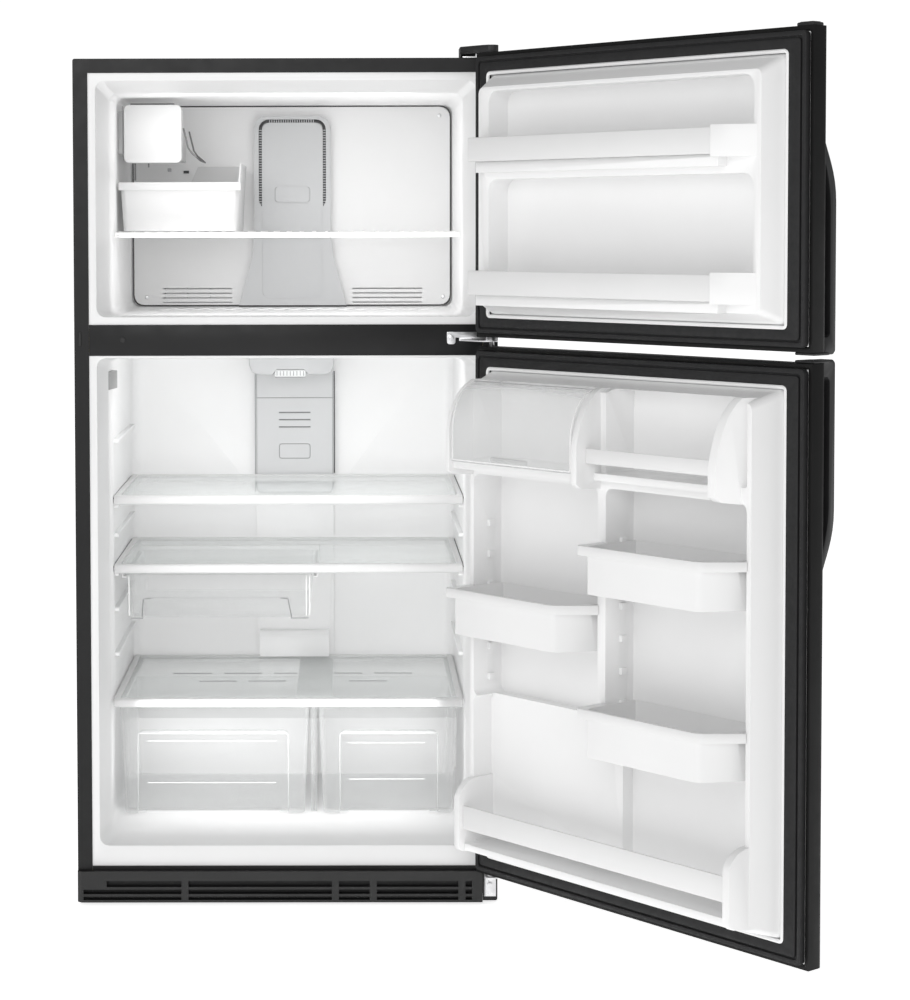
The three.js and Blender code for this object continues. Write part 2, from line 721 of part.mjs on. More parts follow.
// an open tray whose front and left end are cut lower, where the ice falls in
function iceBin() {
  const { x, y, floor, front, side } = ICE_BIN;
  const taper = 8;
  const wallThick = 3;
  const ring = (inset, wall, level) => ({
    points: roundedRect(
      [x[0] + inset + wall, x[1] - inset - wall],
      [y[0] + inset + wall, y[1] - wall],
      12,
      3,
    ),
    level,
  });
  const tray = (wall, low, high) => solidOf(loft([ring(taper, wall, low), ring(0, wall, high)]));
  const lip = box(x, [y[0] - 4, y[0] + 4], [front - 16, front]);
  const body = join(tray(0, floor, side), lip);
  const above = side + 2;
  const scoop = outline(
    [y[0] - 6, front],
    [y[0] + 14, front],
    [y[0] + 40, side],
    [y[0] + 40, above],
    [y[0] - 6, above],
  );
  const fillGap = outline(
    [x[0] - 1, front],
    [x[0] + 125, front],
    [x[0] + 143, side],
    [x[0] + 143, above],
    [x[0] - 1, above],
  );
  return cut(
    body,
    tray(wallThick, floor + wallThick, side + 1),
    prismX(scoop, x[0] - 1, x[1] + 1),
    prismY(fillGap, y[0] - 6, y[1] + 1),
  );
}

// ---------------------------------------------------------------- fresh food inside
function freshAirTower() {
  const front = 586;
  const back = FRESH.back - GAP;
  const levels = [TOWER_BOTTOM, FRESH.top - GAP];
  const body = prismY(roundedShape([DUCT.left, DUCT.right], levels, 12, 3), front, back);
  const seam = box([DUCT.left - 1, DUCT.right + 1], [front - 1, front + 1.2], [958, 960]);
  const slots = [893, 909, 925].map((z) => box([-31, 39], [front - 1, front + 12], [z, z + 3]));
  const rim = prismY(roundedShape([-31, 39], [824, 858], 6, 3), front - 1, front + 1);
  const pad = prismY(roundedShape([-29, 37], [826, 856], 5, 3), front, front + 2);
  return join(cut(body, seam, ...slots, rim), pad);
}

const HOUSING = { x: [-90, 92], y: [420, 585.5], z: [1020, FRESH.top - GAP] };
const LENS = { x: [-36, 33], y: [426, 470], z: [1013, 1034] };

function lightHousing() {
  const { x, y, z } = HOUSING;
  const shell = prismY(
    outline(
      [x[0] + 22, z[0]],
      [x[1] - 22, z[0]],
      [x[1] - 6, z[0] + 8],
      [x[1], z[0] + 24],
      [x[1], z[1]],
      [x[0], z[1]],
      [x[0], z[0] + 24],
      [x[0] + 6, z[0] + 8],
    ),
    ...y,
  );
  const socket = box(grown(LENS.x, GAP), grown(LENS.y, GAP), [z[0] - 1, LENS.z[1] + GAP]);
  const knobs = [-66, 68].map((at) => rodY(at, [y[0] - 1, y[0] + 3], 1046, 12, 16));
  const dials = [-66, 68].map((at) => rodY(at, [y[0] - 2, y[0] + 4], 1046, 10, 16));
  return join(cut(shell, socket, ...knobs), ...dials);
}

function lightLens() {
  const body = box(LENS.x, LENS.y, LENS.z);
  const ridges = Array.from({ length: 9 }, (_, i) => {
    const at = LENS.x[0] + 4 + i * 7;
    return box([at, at + 3], [LENS.y[0] - 1, LENS.y[0] + 2], [LENS.z[0] - 1, LENS.z[0] + 6]);
  });
  return cut(body, ...ridges);
}

function lightSwitch() {
  const { y, z, reach, proud } = SWITCH;
  const plan = outline(
    [reach[0] + 3, y[0]],
    [reach[1], y[0]],
    [proud, y[1] - 6],
    [proud, y[1]],
    [reach[0] + 3, y[1]],
  );
  return prismZ(plan, ...z);
}

function shelfFrame({ half, front, back, top, thick }) {
  const noseShape = roundedShape([front, front + 24], [top - thick, top], 6, 3);
  const nose = prismX(noseShape, -half, half);
  const rails = box([-half, half], [front + 10, back], [top - thick + 4, top]);
  const opening = box([-half + 20, half - 20], [front + 26, back - 22], [top - thick, top + 1]);
  const seat = box([-half + 12, half - 12], [front + 18, back - 12], [top - GLASS - 1, top + 1]);
  return cut(join(nose, rails), opening, seat);
}

function shelfGlass({ half, front, back, top }) {
  return box(
    [-half + 12 + GAP, half - 12 - GAP],
    [front + 18 + GAP, back - 12 - GAP],
    [top - GLASS - 1 + GAP, top - 1 + GAP],
  );
}

const DIVIDER = { bridge: [15, 88], leg: [45, 57], front: 130, back: 462 };

// the shelf over the crispers carries the partition that hangs between them
function crisperShelfFrame() {
  const { front, back, top } = CRISPER_SHELF;
  const bridge = box(DIVIDER.bridge, [front + 10, back - 4], [top - 14, top - 6]);
  const leg = box(DIVIDER.leg, [DIVIDER.front, DIVIDER.back], [FRESH.floor + 1, top - 12]);
  return join(shelfFrame(CRISPER_SHELF), bridge, leg);
}

const CRISPER = { front: 114, back: 464, floor: FRESH.floor + 1.5, top: 362, wall: 2.5 };
const CRISPER_LEFT = { x: [-342, 41], handHold: [-306, -1] };
const CRISPER_RIGHT = { x: [61, 342], handHold: [104, 302] };
const HAND_HOLD_DROP = 48; // from the rim of a drawer to the top of its hand hold

// A clear drawer: thin walls, and a thick front whose lower part is set back for the hand.
function clearDrawer([x0, x1], y0, y1, z0, z1, recess) {
  const wall = CRISPER.wall;
  const front = 26;
  const draft = 9;
  const slope = 4;
  const ring = (sides, fore, aft, radius, level) => ({
    points: roundedRect([x0 + sides, x1 - sides], [y0 + fore, y1 - aft], radius, 3),
    level,
  });
  const outer = loft([ring(draft, slope, 0, 10, z0), ring(0, 0, 0, 10, z1)]);
  const inner = loft([
    ring(draft + wall, front + slope, wall, 8, z0 + wall),
    ring(wall, front, wall, 8, z1 + 1),
  ]);
  const handHold = roundedShape(recess.x, [z0 - 10, recess.top], 10, 3);
  return cut(solidOf(outer), solidOf(inner), prismY(handHold, y0 - 1, y0 + front));
}

function crisper({ x, handHold }) {
  const { front, back, floor, top } = CRISPER;
  return clearDrawer(x, front, back, floor, top, { x: handHold, top: top - HAND_HOLD_DROP });
}

const DELI = { x: [-331, 50], y: [150, 540], z: [538, 628], handHold: [-298, 5] };
const HANGER = { y: [166, 556], wall: 2.5, far: 9.5, near: 0.8 }; // far and near: off the drawer

function deliDrawer() {
  const { x, y, z, handHold } = DELI;
  const tray = clearDrawer(x, ...y, ...z, { x: handHold, top: z[1] - HAND_HOLD_DROP });
  const wing = (inner, outer) => box([inner, outer], [y[0] + 30, y[1]], [z[1] - 3, z[1]]);
  return join(tray, wing(x[0] - 6, x[0] + 2), wing(x[1] - 2, x[1] + 6));
}

// the hanger under the middle shelf: two channels that hold the drawer's wings, and a back
function deliHanger() {
  const { y, wall, far, near } = HANGER;
  const top = MIDDLE_SHELF.top - SHELF.thick + 4 - GAP;
  const lipZ = [DELI.z[1] - 7, DELI.z[1] - 4];
  const outer = [DELI.x[0] - far, DELI.x[1] + far];
  const left = join(
    box([outer[0], outer[0] + wall], y, [lipZ[0], top]),
    box([outer[0], DELI.x[0] - near], y, lipZ),
  );
  const right = join(
    box([outer[1] - wall, outer[1]], y, [lipZ[0], top]),
    box([DELI.x[1] + near, outer[1]], y, lipZ),
  );
  const back = box(outer, [y[1] - 10, y[1]], [top - 9, top]);
  return join(left, right, back);
}

// ---------------------------------------------------------------- doors, drawn closed
// Door coordinates: u runs from the hinge edge to the free edge, h stands out from the door
// towards the food, and z is up.
const across = (u0, u1) => [DOOR.half - u1, DOOR.half - u0];
const out = (h0, h1) => [DOOR.back + h0, DOOR.back + h1];
const doorBox = (u, h, z) => box(across(...u), out(...h), z);
// an outline of [u, h] points, extruded along z
function doorPlan(points, z0, z1) {
  const shape = outline(...points.map(([u, h]) => [DOOR.half - u, DOOR.back + h]).reverse());
  return prismZ(shape, z0, z1);
}
// an outline of [h, z] points, extruded along u
function doorProfile(points, u0, u1) {
  return prismX(outline(...points.map(([h, z]) => [DOOR.back + h, z])), ...across(u0, u1));
}

// the painted steel skin wraps the bowed front, the four edges and a narrow inner lip
function doorPlanOutline(inset) {
  const { half, back, edge, bow } = DOOR;
  const side = half - inset;
  const front = back - edge + inset;
  const shape = new THREE.Shape();
  shape.moveTo(side, back);
  shape.lineTo(-side, back);
  shape.lineTo(-side, front + 12);
  shape.quadraticCurveTo(-side, front, -side + 12, front - 0.5);
  shape.quadraticCurveTo(0, front - 2 * bow, side - 12, front - 0.5);
  shape.quadraticCurveTo(side, front, side, front + 12);
  shape.closePath();
  return shape;
}

function doorSkin({ bottom, top }) {
  const { half, back, edge, skin, lip } = DOOR;
  const outer = prismZ(doorPlanOutline(0), bottom, top, 12);
  const inner = prismZ(doorPlanOutline(skin), bottom + skin, top - skin, 12);
  const mouth = box([-half + lip, half - lip], [back - 3, back + 1], [bottom + lip, top - lip]);
  const hollow = cut(inner, box([-half, half], [back - skin, back + 1], [bottom, top]));
  const socket = (z) => box([half - 32, half - 1], [back - edge + 3, back - 3], z);
  const bore = (z) => rodZ(PIN.x, PIN.y, z, PIN.bore);
  const block = PIN_DEPTH + 6;
  const shell = join(
    cut(outer, hollow, mouth),
    socket([bottom + 1, bottom + block]),
    socket([top - block, top - 1]),
  );
  return cut(
    shell,
    bore([bottom - 1, bottom + PIN_DEPTH]),
    bore([top - PIN_DEPTH, top + 1]),
  );
}

// the insulated core of a door, moulded in one with its white inner panel
function doorCore({ bottom, top }) {
  const { half, back, edge, lip } = DOOR;
  const inset = lip + 2;
  const x = [-half + inset, half - inset];
  const z = [bottom + inset, top - inset];
  const core = box(x, [back - edge + 5, back - 1], z);
  const corner = (zRange) => box([half - 33, half], [back - edge, back + 1], zRange);
  const block = PIN_DEPTH + 7;
  return cut(core, corner([bottom, bottom + block]), corner([top - block, top]));
}

function doorGasket({ bottom, top }) {
  const { half, back } = DOOR;
  const { outer, hinge, free, level, thick, groove } = GASKET;
  const ring = (inset, radius) =>
    roundedShape([-half + inset, half - inset], [bottom + inset, top - inset], radius, 3);
  const y = [back - 1 + GAP, back + thick];
  const band = prismY(ring(outer, 8), ...y);
  const opening = roundedShape([free - half, half - hinge], [bottom + level, top - level], 8, 3);
  const hole = prismY(opening, y[0] - 1, y[1] + 1);
  const grooveRing = cut(
    prismY(ring(outer + groove[0], 6), y[1] - 5, y[1] + 1),
    prismY(ring(outer + groove[1], 6), y[1] - 6, y[1] + 2),
  );
  return cut(band, hole, grooveRing);
}

// The raised border of an inner panel. Its four sides slope in as they stand out from the
// door, by these amounts for each millimetre of height, so that it clears the cabinet's liner.
const BORDER = { hinge: 43, free: 781, inset: 43, radius: 12 };

function panelBorder({ bottom, top }, { height, slopes }) {
  const level = (h) => ({
    points: roundedRect(
      across(BORDER.hinge + slopes.hinge * h, BORDER.free - slopes.free * h),
      [bottom + BORDER.inset + slopes.bottom * h, top - BORDER.inset - slopes.top * h],
      BORDER.radius,
      4,
    ),
    level: DOOR.back + h,
  });
  return loftY([level(-3), level(height)]);
}

// ---- freezer door
const FREEZER_BORDER = {
  height: 54,
  slopes: { hinge: 0.39, free: 0.32, bottom: 0.4, top: 0.52 },
};
const FREEZER_RECESS = { u: [92, 748], floor: 4, radius: 22 };
const FREEZER_RECESSES = [
  [1457, 1592],
  [1206, 1425],
];
const RAILS = { levels: [1457, 1206], height: 46, reach: 92, thick: 4, u: [74, 684] };
const SHELF_LEDGE = { setBack: 16, thick: 20 };
const SHELF_END = { u: [684, 754], corner: [722, 76], overhang: 4 };

// the plan of a freezer door shelf floor, which stands back from its rail
function ledgePlan() {
  const reach = RAILS.reach - SHELF_LEDGE.setBack;
  const [u0, u1] = RAILS.u;
  return [
    [u0 + 6, 2],
    [u0 + 6, reach],
    [u1 + 4, reach],
    [u1 + 4, 2],
  ];
}

// the moulded block that closes a shelf at the free edge and holds its rail
function shelfEnd(z) {
  const plan = [
    [SHELF_END.u[0], 2],
    [SHELF_END.u[0], RAILS.reach],
    SHELF_END.corner,
    [SHELF_END.u[1], FREEZER_BORDER.height],
    [SHELF_END.u[1], 2],
  ];
  return doorPlan(plan, z - SHELF_END.overhang, z + RAILS.height + SHELF_END.overhang);
}

function freezerDoorLiner() {
  const { u, floor, radius } = FREEZER_RECESS;
  const border = panelBorder(FREEZER_DOOR, FREEZER_BORDER);
  const recess = (z) =>
    prismY(roundedShape(across(...u), z, radius, 4), ...out(floor, FREEZER_BORDER.height + 4));
  const panel = cut(join(doorCore(FREEZER_DOOR), border), ...FREEZER_RECESSES.map(recess));
  const ledges = RAILS.levels.map((z) => doorPlan(ledgePlan(), z - SHELF_LEDGE.thick, z));
  return join(panel, ...ledges, ...RAILS.levels.map(shelfEnd));
}

// a rail: a flat bar with a return at the hinge side that meets the border
function freezerDoorRail(z) {
  const { reach, thick, height, u } = RAILS;
  const levels = [z + GAP, z + height];
  const bar = doorBox([u[0], u[1] - GAP], [reach - thick, reach], levels);
  const end = doorBox([u[0], u[0] + thick], [FREEZER_BORDER.height + GAP, reach], levels);
  return join(bar, end);
}

// ---- fresh food door
const FRESH_BORDER = {
  height: 76,
  slopes: { hinge: 0.28, free: 0.2, bottom: 0.3, top: 0.3 },
};
const COLUMN = { left: [75, 405], right: [425, 756] };
const BAY = { floor: 893, top: 1044, under: 866, lip: 13 }; // dairy and utility compartments
const LEFT_BIN_BAY = 440; // the left bin column ends here, above a raised panel
const RAISED_PANEL = 30;
const LOW_SHELF = { floor: 158, under: 142, reach: 112, top: 282, railZ: [187, 232], thick: 12 };

// an end wall of a door compartment: it swells forward below a rounded shoulder
function cheekProfile({ reach, bottom, top, shoulder, drop }) {
  const curve = new THREE.QuadraticBezierCurve(
    new THREE.Vector2(FRESH_BORDER.height - 2, top),
    new THREE.Vector2(reach * 0.9, top - shoulder * drop),
    new THREE.Vector2(reach, top - shoulder),
  );
  const bend = curve.getPoints(6).map((p) => [p.x, p.y]);
  return [
    [2, bottom],
    [FRESH_BORDER.height, bottom - 2],
    [reach - 10, bottom + 2],
    [reach, bottom + 10],
    ...bend.reverse(),
    [2, top],
  ];
}

// A cheek at the free edge. Its plan is a wedge: it stands on the panel between the two u
// values of base, and narrows to the two of tip at its front.
function slopedCheek(cheek, base, tip) {
  const { reach, bottom, top } = cheek;
  const profile = doorProfile(cheekProfile(cheek), tip[0] - 10, base[1] + 10);
  const wedge = doorPlan(
    [
      [base[0], 2],
      [tip[0], reach + 1],
      [tip[1], reach + 1],
      [base[1], 2],
    ],
    bottom - 20,
    top + 20,
  );
  return profile.intersect(wedge);
}

const LUG = { h: [26, 40], reach: 6, height: 12, lowest: 478, pitch: 59.2, rows: 6 };

// small pegs on both sides of each bin column, where the bins hook in
function binLugs() {
  return [COLUMN.left, COLUMN.right].flatMap(([u0, u1]) =>
    Array.from({ length: LUG.rows }, (_, i) => {
      const z = LUG.lowest + i * LUG.pitch;
      return join(
        doorBox([u0 - 1, u0 + LUG.reach], LUG.h, [z - LUG.height, z]),
        doorBox([u1 - LUG.reach, u1 + 1], LUG.h, [z - LUG.height, z]),
      );
    }),
  );
}

const DAIRY = { reach: 136, hingeCheek: [66, 74], divider: [398, 412], shoulder: [88, 104] };
const UTILITY = { reach: 118, floor: 92, base: [760, 780], tip: [705, 722], shoulder: 118 };
const LOW_CHEEK = { base: [762, 780], tip: [743, 757], hinge: [66, 80] };

function compartmentFloors() {
  const levels = [BAY.floor - BAY.lip, BAY.floor];
  const dairy = [
    [72, 2],
    [72, DAIRY.reach - 10],
    [80, DAIRY.reach - 3],
    [400, DAIRY.reach - 3],
    [400, 2],
  ];
  const utility = [
    [400, 2],
    [400, UTILITY.floor],
    [UTILITY.tip[1], UTILITY.floor],
    [UTILITY.base[0] + 2, 2],
  ];
  return join(doorPlan(dairy, ...levels), doorPlan(utility, ...levels));
}

function lowShelf() {
  const { reach, floor, thick, under, top } = LOW_SHELF;
  const cheek = { reach: 118, bottom: under, top, shoulder: 34, drop: 0.1 };
  const plan = [
    [LOW_CHEEK.hinge[0], 2],
    [LOW_CHEEK.hinge[0], reach - 8],
    [LOW_CHEEK.tip[0] + 4, reach - 8],
    [LOW_CHEEK.base[0] + 4, 2],
  ];
  return join(
    doorPlan(plan, floor - thick, floor),
    doorProfile(cheekProfile(cheek), ...LOW_CHEEK.hinge),
    slopedCheek(cheek, LOW_CHEEK.base, LOW_CHEEK.tip),
  );
}

// the end walls of the dairy and utility compartments
function bayCheeks() {
  const bay = { bottom: BAY.under, top: BAY.top + 1, drop: 0.22 };
  const dairy = (shoulder) => cheekProfile({ ...bay, reach: DAIRY.reach + 2, shoulder });
  return join(
    doorProfile(dairy(DAIRY.shoulder[0]), ...DAIRY.hingeCheek),
    doorProfile(dairy(DAIRY.shoulder[1]), ...DAIRY.divider),
    slopedCheek({ ...bay, ...UTILITY }, UTILITY.base, UTILITY.tip),
  );
}

function freshDoorLiner() {
  const border = panelBorder(FRESH_DOOR, FRESH_BORDER);
  const recess = (u, z, radius, floor = 4) =>
    prismY(roundedShape(across(...u), z, radius, 3), ...out(floor, FRESH_BORDER.height + 4));
  const panel = cut(
    join(doorCore(FRESH_DOOR), border),
    recess(COLUMN.left, [LEFT_BIN_BAY, BAY.under], 14),
    recess(COLUMN.right, [LOW_SHELF.floor, BAY.under], 14),
    recess(COLUMN.left, [BAY.floor, BAY.top], 5),
    recess(COLUMN.right, [BAY.floor, BAY.top], 5),
    recess([COLUMN.left[0], COLUMN.right[1]], [LOW_SHELF.floor, LEFT_BIN_BAY + 1], 14, RAISED_PANEL),
  );
  return join(panel, compartmentFloors(), bayCheeks(), lowShelf(), ...binLugs());
}

// the dairy cover: a clear curved shell that closes the compartment and lifts at its top
const LID = { u: [79, 397], wall: 2.5 };

function dairyLid() {
  const arc = (shift) =>
    new THREE.QuadraticBezierCurve(
      new THREE.Vector2(FRESH_BORDER.height + 1, 1042 - shift),
      new THREE.Vector2(126 - shift, 1034 - shift),
      new THREE.Vector2(DAIRY.reach + 1 - shift, 962),
    )
      .getPoints(8)
      .map((p) => [p.x, p.y]);
  const low = BAY.floor + 1;
  const outside = [[DAIRY.reach + 1, low], ...arc(0).reverse()];
  const inside = [...arc(LID.wall), [DAIRY.reach + 1 - LID.wall, low]];
  const shell = doorProfile([...outside, ...inside], ...LID.u);
  const grip = doorBox([190, 284], [DAIRY.reach, DAIRY.reach + 5], [low + 6, low + 14]);
  return join(shell, grip);
}

function utilityRail() {
  const u = [DAIRY.divider[1] + GAP, UTILITY.tip[0]];
  return doorBox(u, [UTILITY.reach - 7, UTILITY.reach - 3], [912, 939]);
}

function bottomRail() {
  const u = [LOW_CHEEK.hinge[1] + GAP, LOW_CHEEK.tip[0]];
  return doorBox(u, [LOW_SHELF.reach - 7, LOW_SHELF.reach - 3], LOW_SHELF.railZ);
}

// A door bin: its back part fits between the lugs, and its front stands proud of the border
// with a thick rim. The corner towards the free edge is cut back.
const BIN = { height: 86, wall: 2.5, rim: 17 };

function doorBin({ u, top }) {
  const bottom = top - BIN.height;
  const plan = (shrink) => [
    [u + 8 + shrink, 6 + shrink],
    [u + 8 + shrink, 130 - shrink],
    [u + 16 + shrink, 138 - shrink],
    [u + 268 - shrink, 138 - shrink],
    [u + 282 - shrink, 130 - shrink],
    [u + 318 - shrink, 68 - shrink],
    [u + 320 - shrink, 50],
    [u + 320 - shrink, 6 + shrink],
  ];
  const rimPlan = [
    [u - 12, FRESH_BORDER.height + 1],
    [u - 12, 134],
    [u - 4, 143],
    [u + 272, 143],
    [u + 290, 134],
    [u + 334, FRESH_BORDER.height + 3],
    [u + 334, FRESH_BORDER.height + 1],
  ];
  const body = join(doorPlan(plan(0), bottom, top), doorPlan(rimPlan, top - BIN.rim, top));
  return cut(body, doorPlan(plan(BIN.wall), bottom + BIN.wall, top + 1));
}

const BIN_LEFT = { u: COLUMN.left[0], top: 652 };
const BIN_RIGHT_UPPER = { u: COLUMN.right[0], top: 768 };
const BIN_RIGHT_LOWER = { u: COLUMN.right[0], top: 476 };

// ---- handles
const HANDLE = { u: [792, 820], reach: 35, grip: 15, straight: 258, length: 374, wrap: 5 };

// The side view of a handle, with `end` its level at the door's end and `way` pointing from
// there along the door: a solid foot, a straight grip, then a long taper back to the face.
function handleProfile(end, way) {
  const face = DOOR.back - DOOR.edge - 3.2;
  const y = (p) => face - p;
  const z = (d) => end + way * d;
  const { reach, grip, straight, length } = HANDLE;
  const taper = (p, from, to) =>
    new THREE.CubicBezierCurve(
      new THREE.Vector2(y(p), z(from)),
      new THREE.Vector2(y(p), z(from + (to - from) * 0.45)),
      new THREE.Vector2(y(p * 0.35), z(from + (to - from) * 0.7)),
      new THREE.Vector2(y(0), z(to)),
    ).getPoints(8);
  const points = [
    new THREE.Vector2(y(0), z(0)),
    new THREE.Vector2(y(reach - 6), z(0)),
    new THREE.Vector2(y(reach), z(6)),
    ...taper(reach, straight, length),
    ...taper(reach - grip, straight - 10, length - 30).reverse(),
    new THREE.Vector2(y(reach - grip), z(36)),
    new THREE.Vector2(y(reach - grip - 6), z(30)),
    new THREE.Vector2(y(0), z(30)),
  ];
  return new THREE.Shape(points);
}

function handle(end, way) {
  const bow = prismX(handleProfile(end, way), ...across(...HANDLE.u));
  const wrapZ = way > 0 ? [end, end + HANDLE.wrap] : [end - HANDLE.wrap, end];
  const wrap = box(
    across(788, 831),
    [DOOR.back - DOOR.edge - 10, DOOR.back - 6],
    wrapZ,
  );
  return join(bow, wrap);
}

// ---------------------------------------------------------------- assembly
function buildCabinet(group) {
  add(group, "cabinet_wrapper", cabinetWrapper(), BLACK_STEEL);
  add(group, "cabinet_foam", cabinetFoam(), FOAM_CREAM);
  add(group, "back_panel", backPanel(), GALVANISED);
  add(group, "base_pan", basePan(), BLACK_STEEL);
  add(group, "mullion_bar", mullionBar(), BLACK_STEEL);
  add(group, "toe_grille", toeGrille(), BLACK_PLASTIC);
  add(group, "machine_cover", machineCover(), GALVANISED);
  add(group, "freezer_liner", freezerLiner(), WHITE_LINER);
  add(group, "fresh_food_liner", freshFoodLiner(), WHITE_LINER);
  add(group, "top_hinge", topHinge(), ZINC);
  add(group, "hinge_cover", hingeCover(), BLACK_PLASTIC);
  add(group, "center_hinge", centreHinge(), ZINC);
  add(group, "bottom_hinge", bottomHinge(), ZINC);
  add(group, "front_foot_left", levellingFoot(-1), BLACK_PLASTIC);
  add(group, "front_foot_right", levellingFoot(1), BLACK_PLASTIC);
  add(group, "rear_roller_left", rearRoller(-1), BLACK_PLASTIC);
  add(group, "rear_roller_right", rearRoller(1), BLACK_PLASTIC);
}

function buildMachineSpace(group) {
  add(group, "compressor", compressor(), COMPRESSOR_BLACK);
  add(group, "condenser_coil", condenserCoil(), COPPER);
  add(group, "condenser_fan_motor", condenserFanMotor(), COMPRESSOR_BLACK);
  const { x, y, z } = CONDENSER_FAN;
  const blades = add(group, "condenser_fan", fanBlades(14, 62, 18, 5), GREY_PLASTIC);
  blades.rotation.z = Math.PI / 2;
  blades.position.set(x, y, z);
}

function buildFreezer(group) {
  add(group, "evaporator_cover", evaporatorCover(), WHITE_PLASTIC);
  add(group, "freezer_air_tower", freezerAirTower(), GREY_PLASTIC);
  add(group, "evaporator_coil", evaporatorCoil(), ALUMINIUM);
  add(group, "evaporator_fan_motor", evaporatorFanMotor(), COMPRESSOR_BLACK);
  const { x, y, z } = EVAPORATOR_FAN;
  const blades = add(group, "evaporator_fan", fanBlades(12, 48, 14, 4), GREY_PLASTIC);
  blades.position.set(x, y, z);
  add(group, "wire_shelf", wireShelf(), COATED_WIRE);
  add(group, "ice_maker", iceMaker(), WHITE_PLASTIC);
  add(group, "ice_maker_arm", iceMakerArm(), GALVANISED);
  add(group, "ice_bin", iceBin(), WHITE_PLASTIC);
}

function buildFreshFood(group) {
  add(group, "fresh_air_tower", freshAirTower(), GREY_PLASTIC);
  add(group, "light_housing", lightHousing(), GREY_PLASTIC);
  add(group, "light_lens", lightLens(), CLEAR_PLASTIC);
  add(group, "light_switch", lightSwitch(), SWITCH_GREY);
  add(group, "upper_shelf_frame", shelfFrame(UPPER_SHELF), WHITE_PLASTIC);
  add(group, "upper_shelf_glass", shelfGlass(UPPER_SHELF), GLASS_PANE);
  add(group, "middle_shelf_frame", shelfFrame(MIDDLE_SHELF), WHITE_PLASTIC);
  add(group, "middle_shelf_glass", shelfGlass(MIDDLE_SHELF), GLASS_PANE);
  add(group, "crisper_shelf_frame", crisperShelfFrame(), WHITE_PLASTIC);
  add(group, "crisper_shelf_glass", shelfGlass(CRISPER_SHELF), GLASS_PANE);
  add(group, "crisper_left", crisper(CRISPER_LEFT), CLEAR_PLASTIC);
  add(group, "crisper_right", crisper(CRISPER_RIGHT), CLEAR_PLASTIC);
  add(group, "deli_drawer", deliDrawer(), CLEAR_PLASTIC);
  add(group, "deli_hanger", deliHanger(), WHITE_PLASTIC);
}

// A door's group has its origin on the hinge pins, so that turning the group opens the door.
function doorGroup() {
  const hinge = new THREE.Group();
  hinge.position.set(PIN.x, PIN.y, 0);
  hinge.rotation.z = THREE.MathUtils.degToRad(OPEN_DEGREES);
  const closed = new THREE.Group();
  closed.position.set(-PIN.x, -PIN.y, 0);
  hinge.add(closed);
  return { hinge, closed };
}

function buildFreezerDoor() {
  const { hinge, closed } = doorGroup();
  add(closed, "freezer_door_skin", doorSkin(FREEZER_DOOR), BLACK_STEEL);
  add(closed, "freezer_door_liner", freezerDoorLiner(), WHITE_LINER);
  add(closed, "freezer_door_gasket", doorGasket(FREEZER_DOOR), BLACK_RUBBER);
  const [upper, lower] = RAILS.levels;
  add(closed, "freezer_door_rail_upper", freezerDoorRail(upper), WHITE_PLASTIC);
  add(closed, "freezer_door_rail_lower", freezerDoorRail(lower), WHITE_PLASTIC);
  add(closed, "freezer_door_handle", handle(FREEZER_DOOR.bottom - 5.3, 1), BLACK_PLASTIC);
  return hinge;
}

function buildFreshDoor() {
  const { hinge, closed } = doorGroup();
  add(closed, "fresh_door_skin", doorSkin(FRESH_DOOR), BLACK_STEEL);
  add(closed, "fresh_door_liner", freshDoorLiner(), WHITE_LINER);
  add(closed, "fresh_door_gasket", doorGasket(FRESH_DOOR), BLACK_RUBBER);
  add(closed, "dairy_lid", dairyLid(), CLEAR_PLASTIC);
  add(closed, "utility_rail", utilityRail(), WHITE_PLASTIC);
  add(closed, "bottom_rail", bottomRail(), WHITE_PLASTIC);
  add(closed, "door_bin_left", doorBin(BIN_LEFT), WHITE_PLASTIC);
  add(closed, "door_bin_right_upper", doorBin(BIN_RIGHT_UPPER), WHITE_PLASTIC);
  add(closed, "door_bin_right_lower", doorBin(BIN_RIGHT_LOWER), WHITE_PLASTIC);
  add(closed, "fresh_door_handle", handle(FRESH_DOOR.top + 5.3, -1), BLACK_PLASTIC);
  return hinge;
}

const standing = new THREE.Group();
buildCabinet(standing);
buildMachineSpace(standing);
buildFreezer(standing);
buildFreshFood(standing);
standing.add(buildFreezerDoor(), buildFreshDoor());

// the origin goes to the floor, below the middle of the box around the open refrigerator
const around = new THREE.Box3().setFromObject(standing, true);
const middle = around.getCenter(new THREE.Vector3());
standing.position.set(-middle.x, -middle.y, FOOT_HEIGHT);
fridge.add(standing);

export default fridge;
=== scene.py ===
# A top freezer refrigerator with both doors open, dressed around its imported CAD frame.
#
# The CAD model is in metres in the row frame. Sizes here are in millimetres in the cabinet's
# own frame: X = 0 at the middle, Y = 0 at the front face and rising to the back, Z = 0 at the
# cabinet's bottom edge. Doors are drawn closed in that frame and then turned about their pins.
import json
import math

import bmesh
import bpy
from mathutils import Matrix, Vector


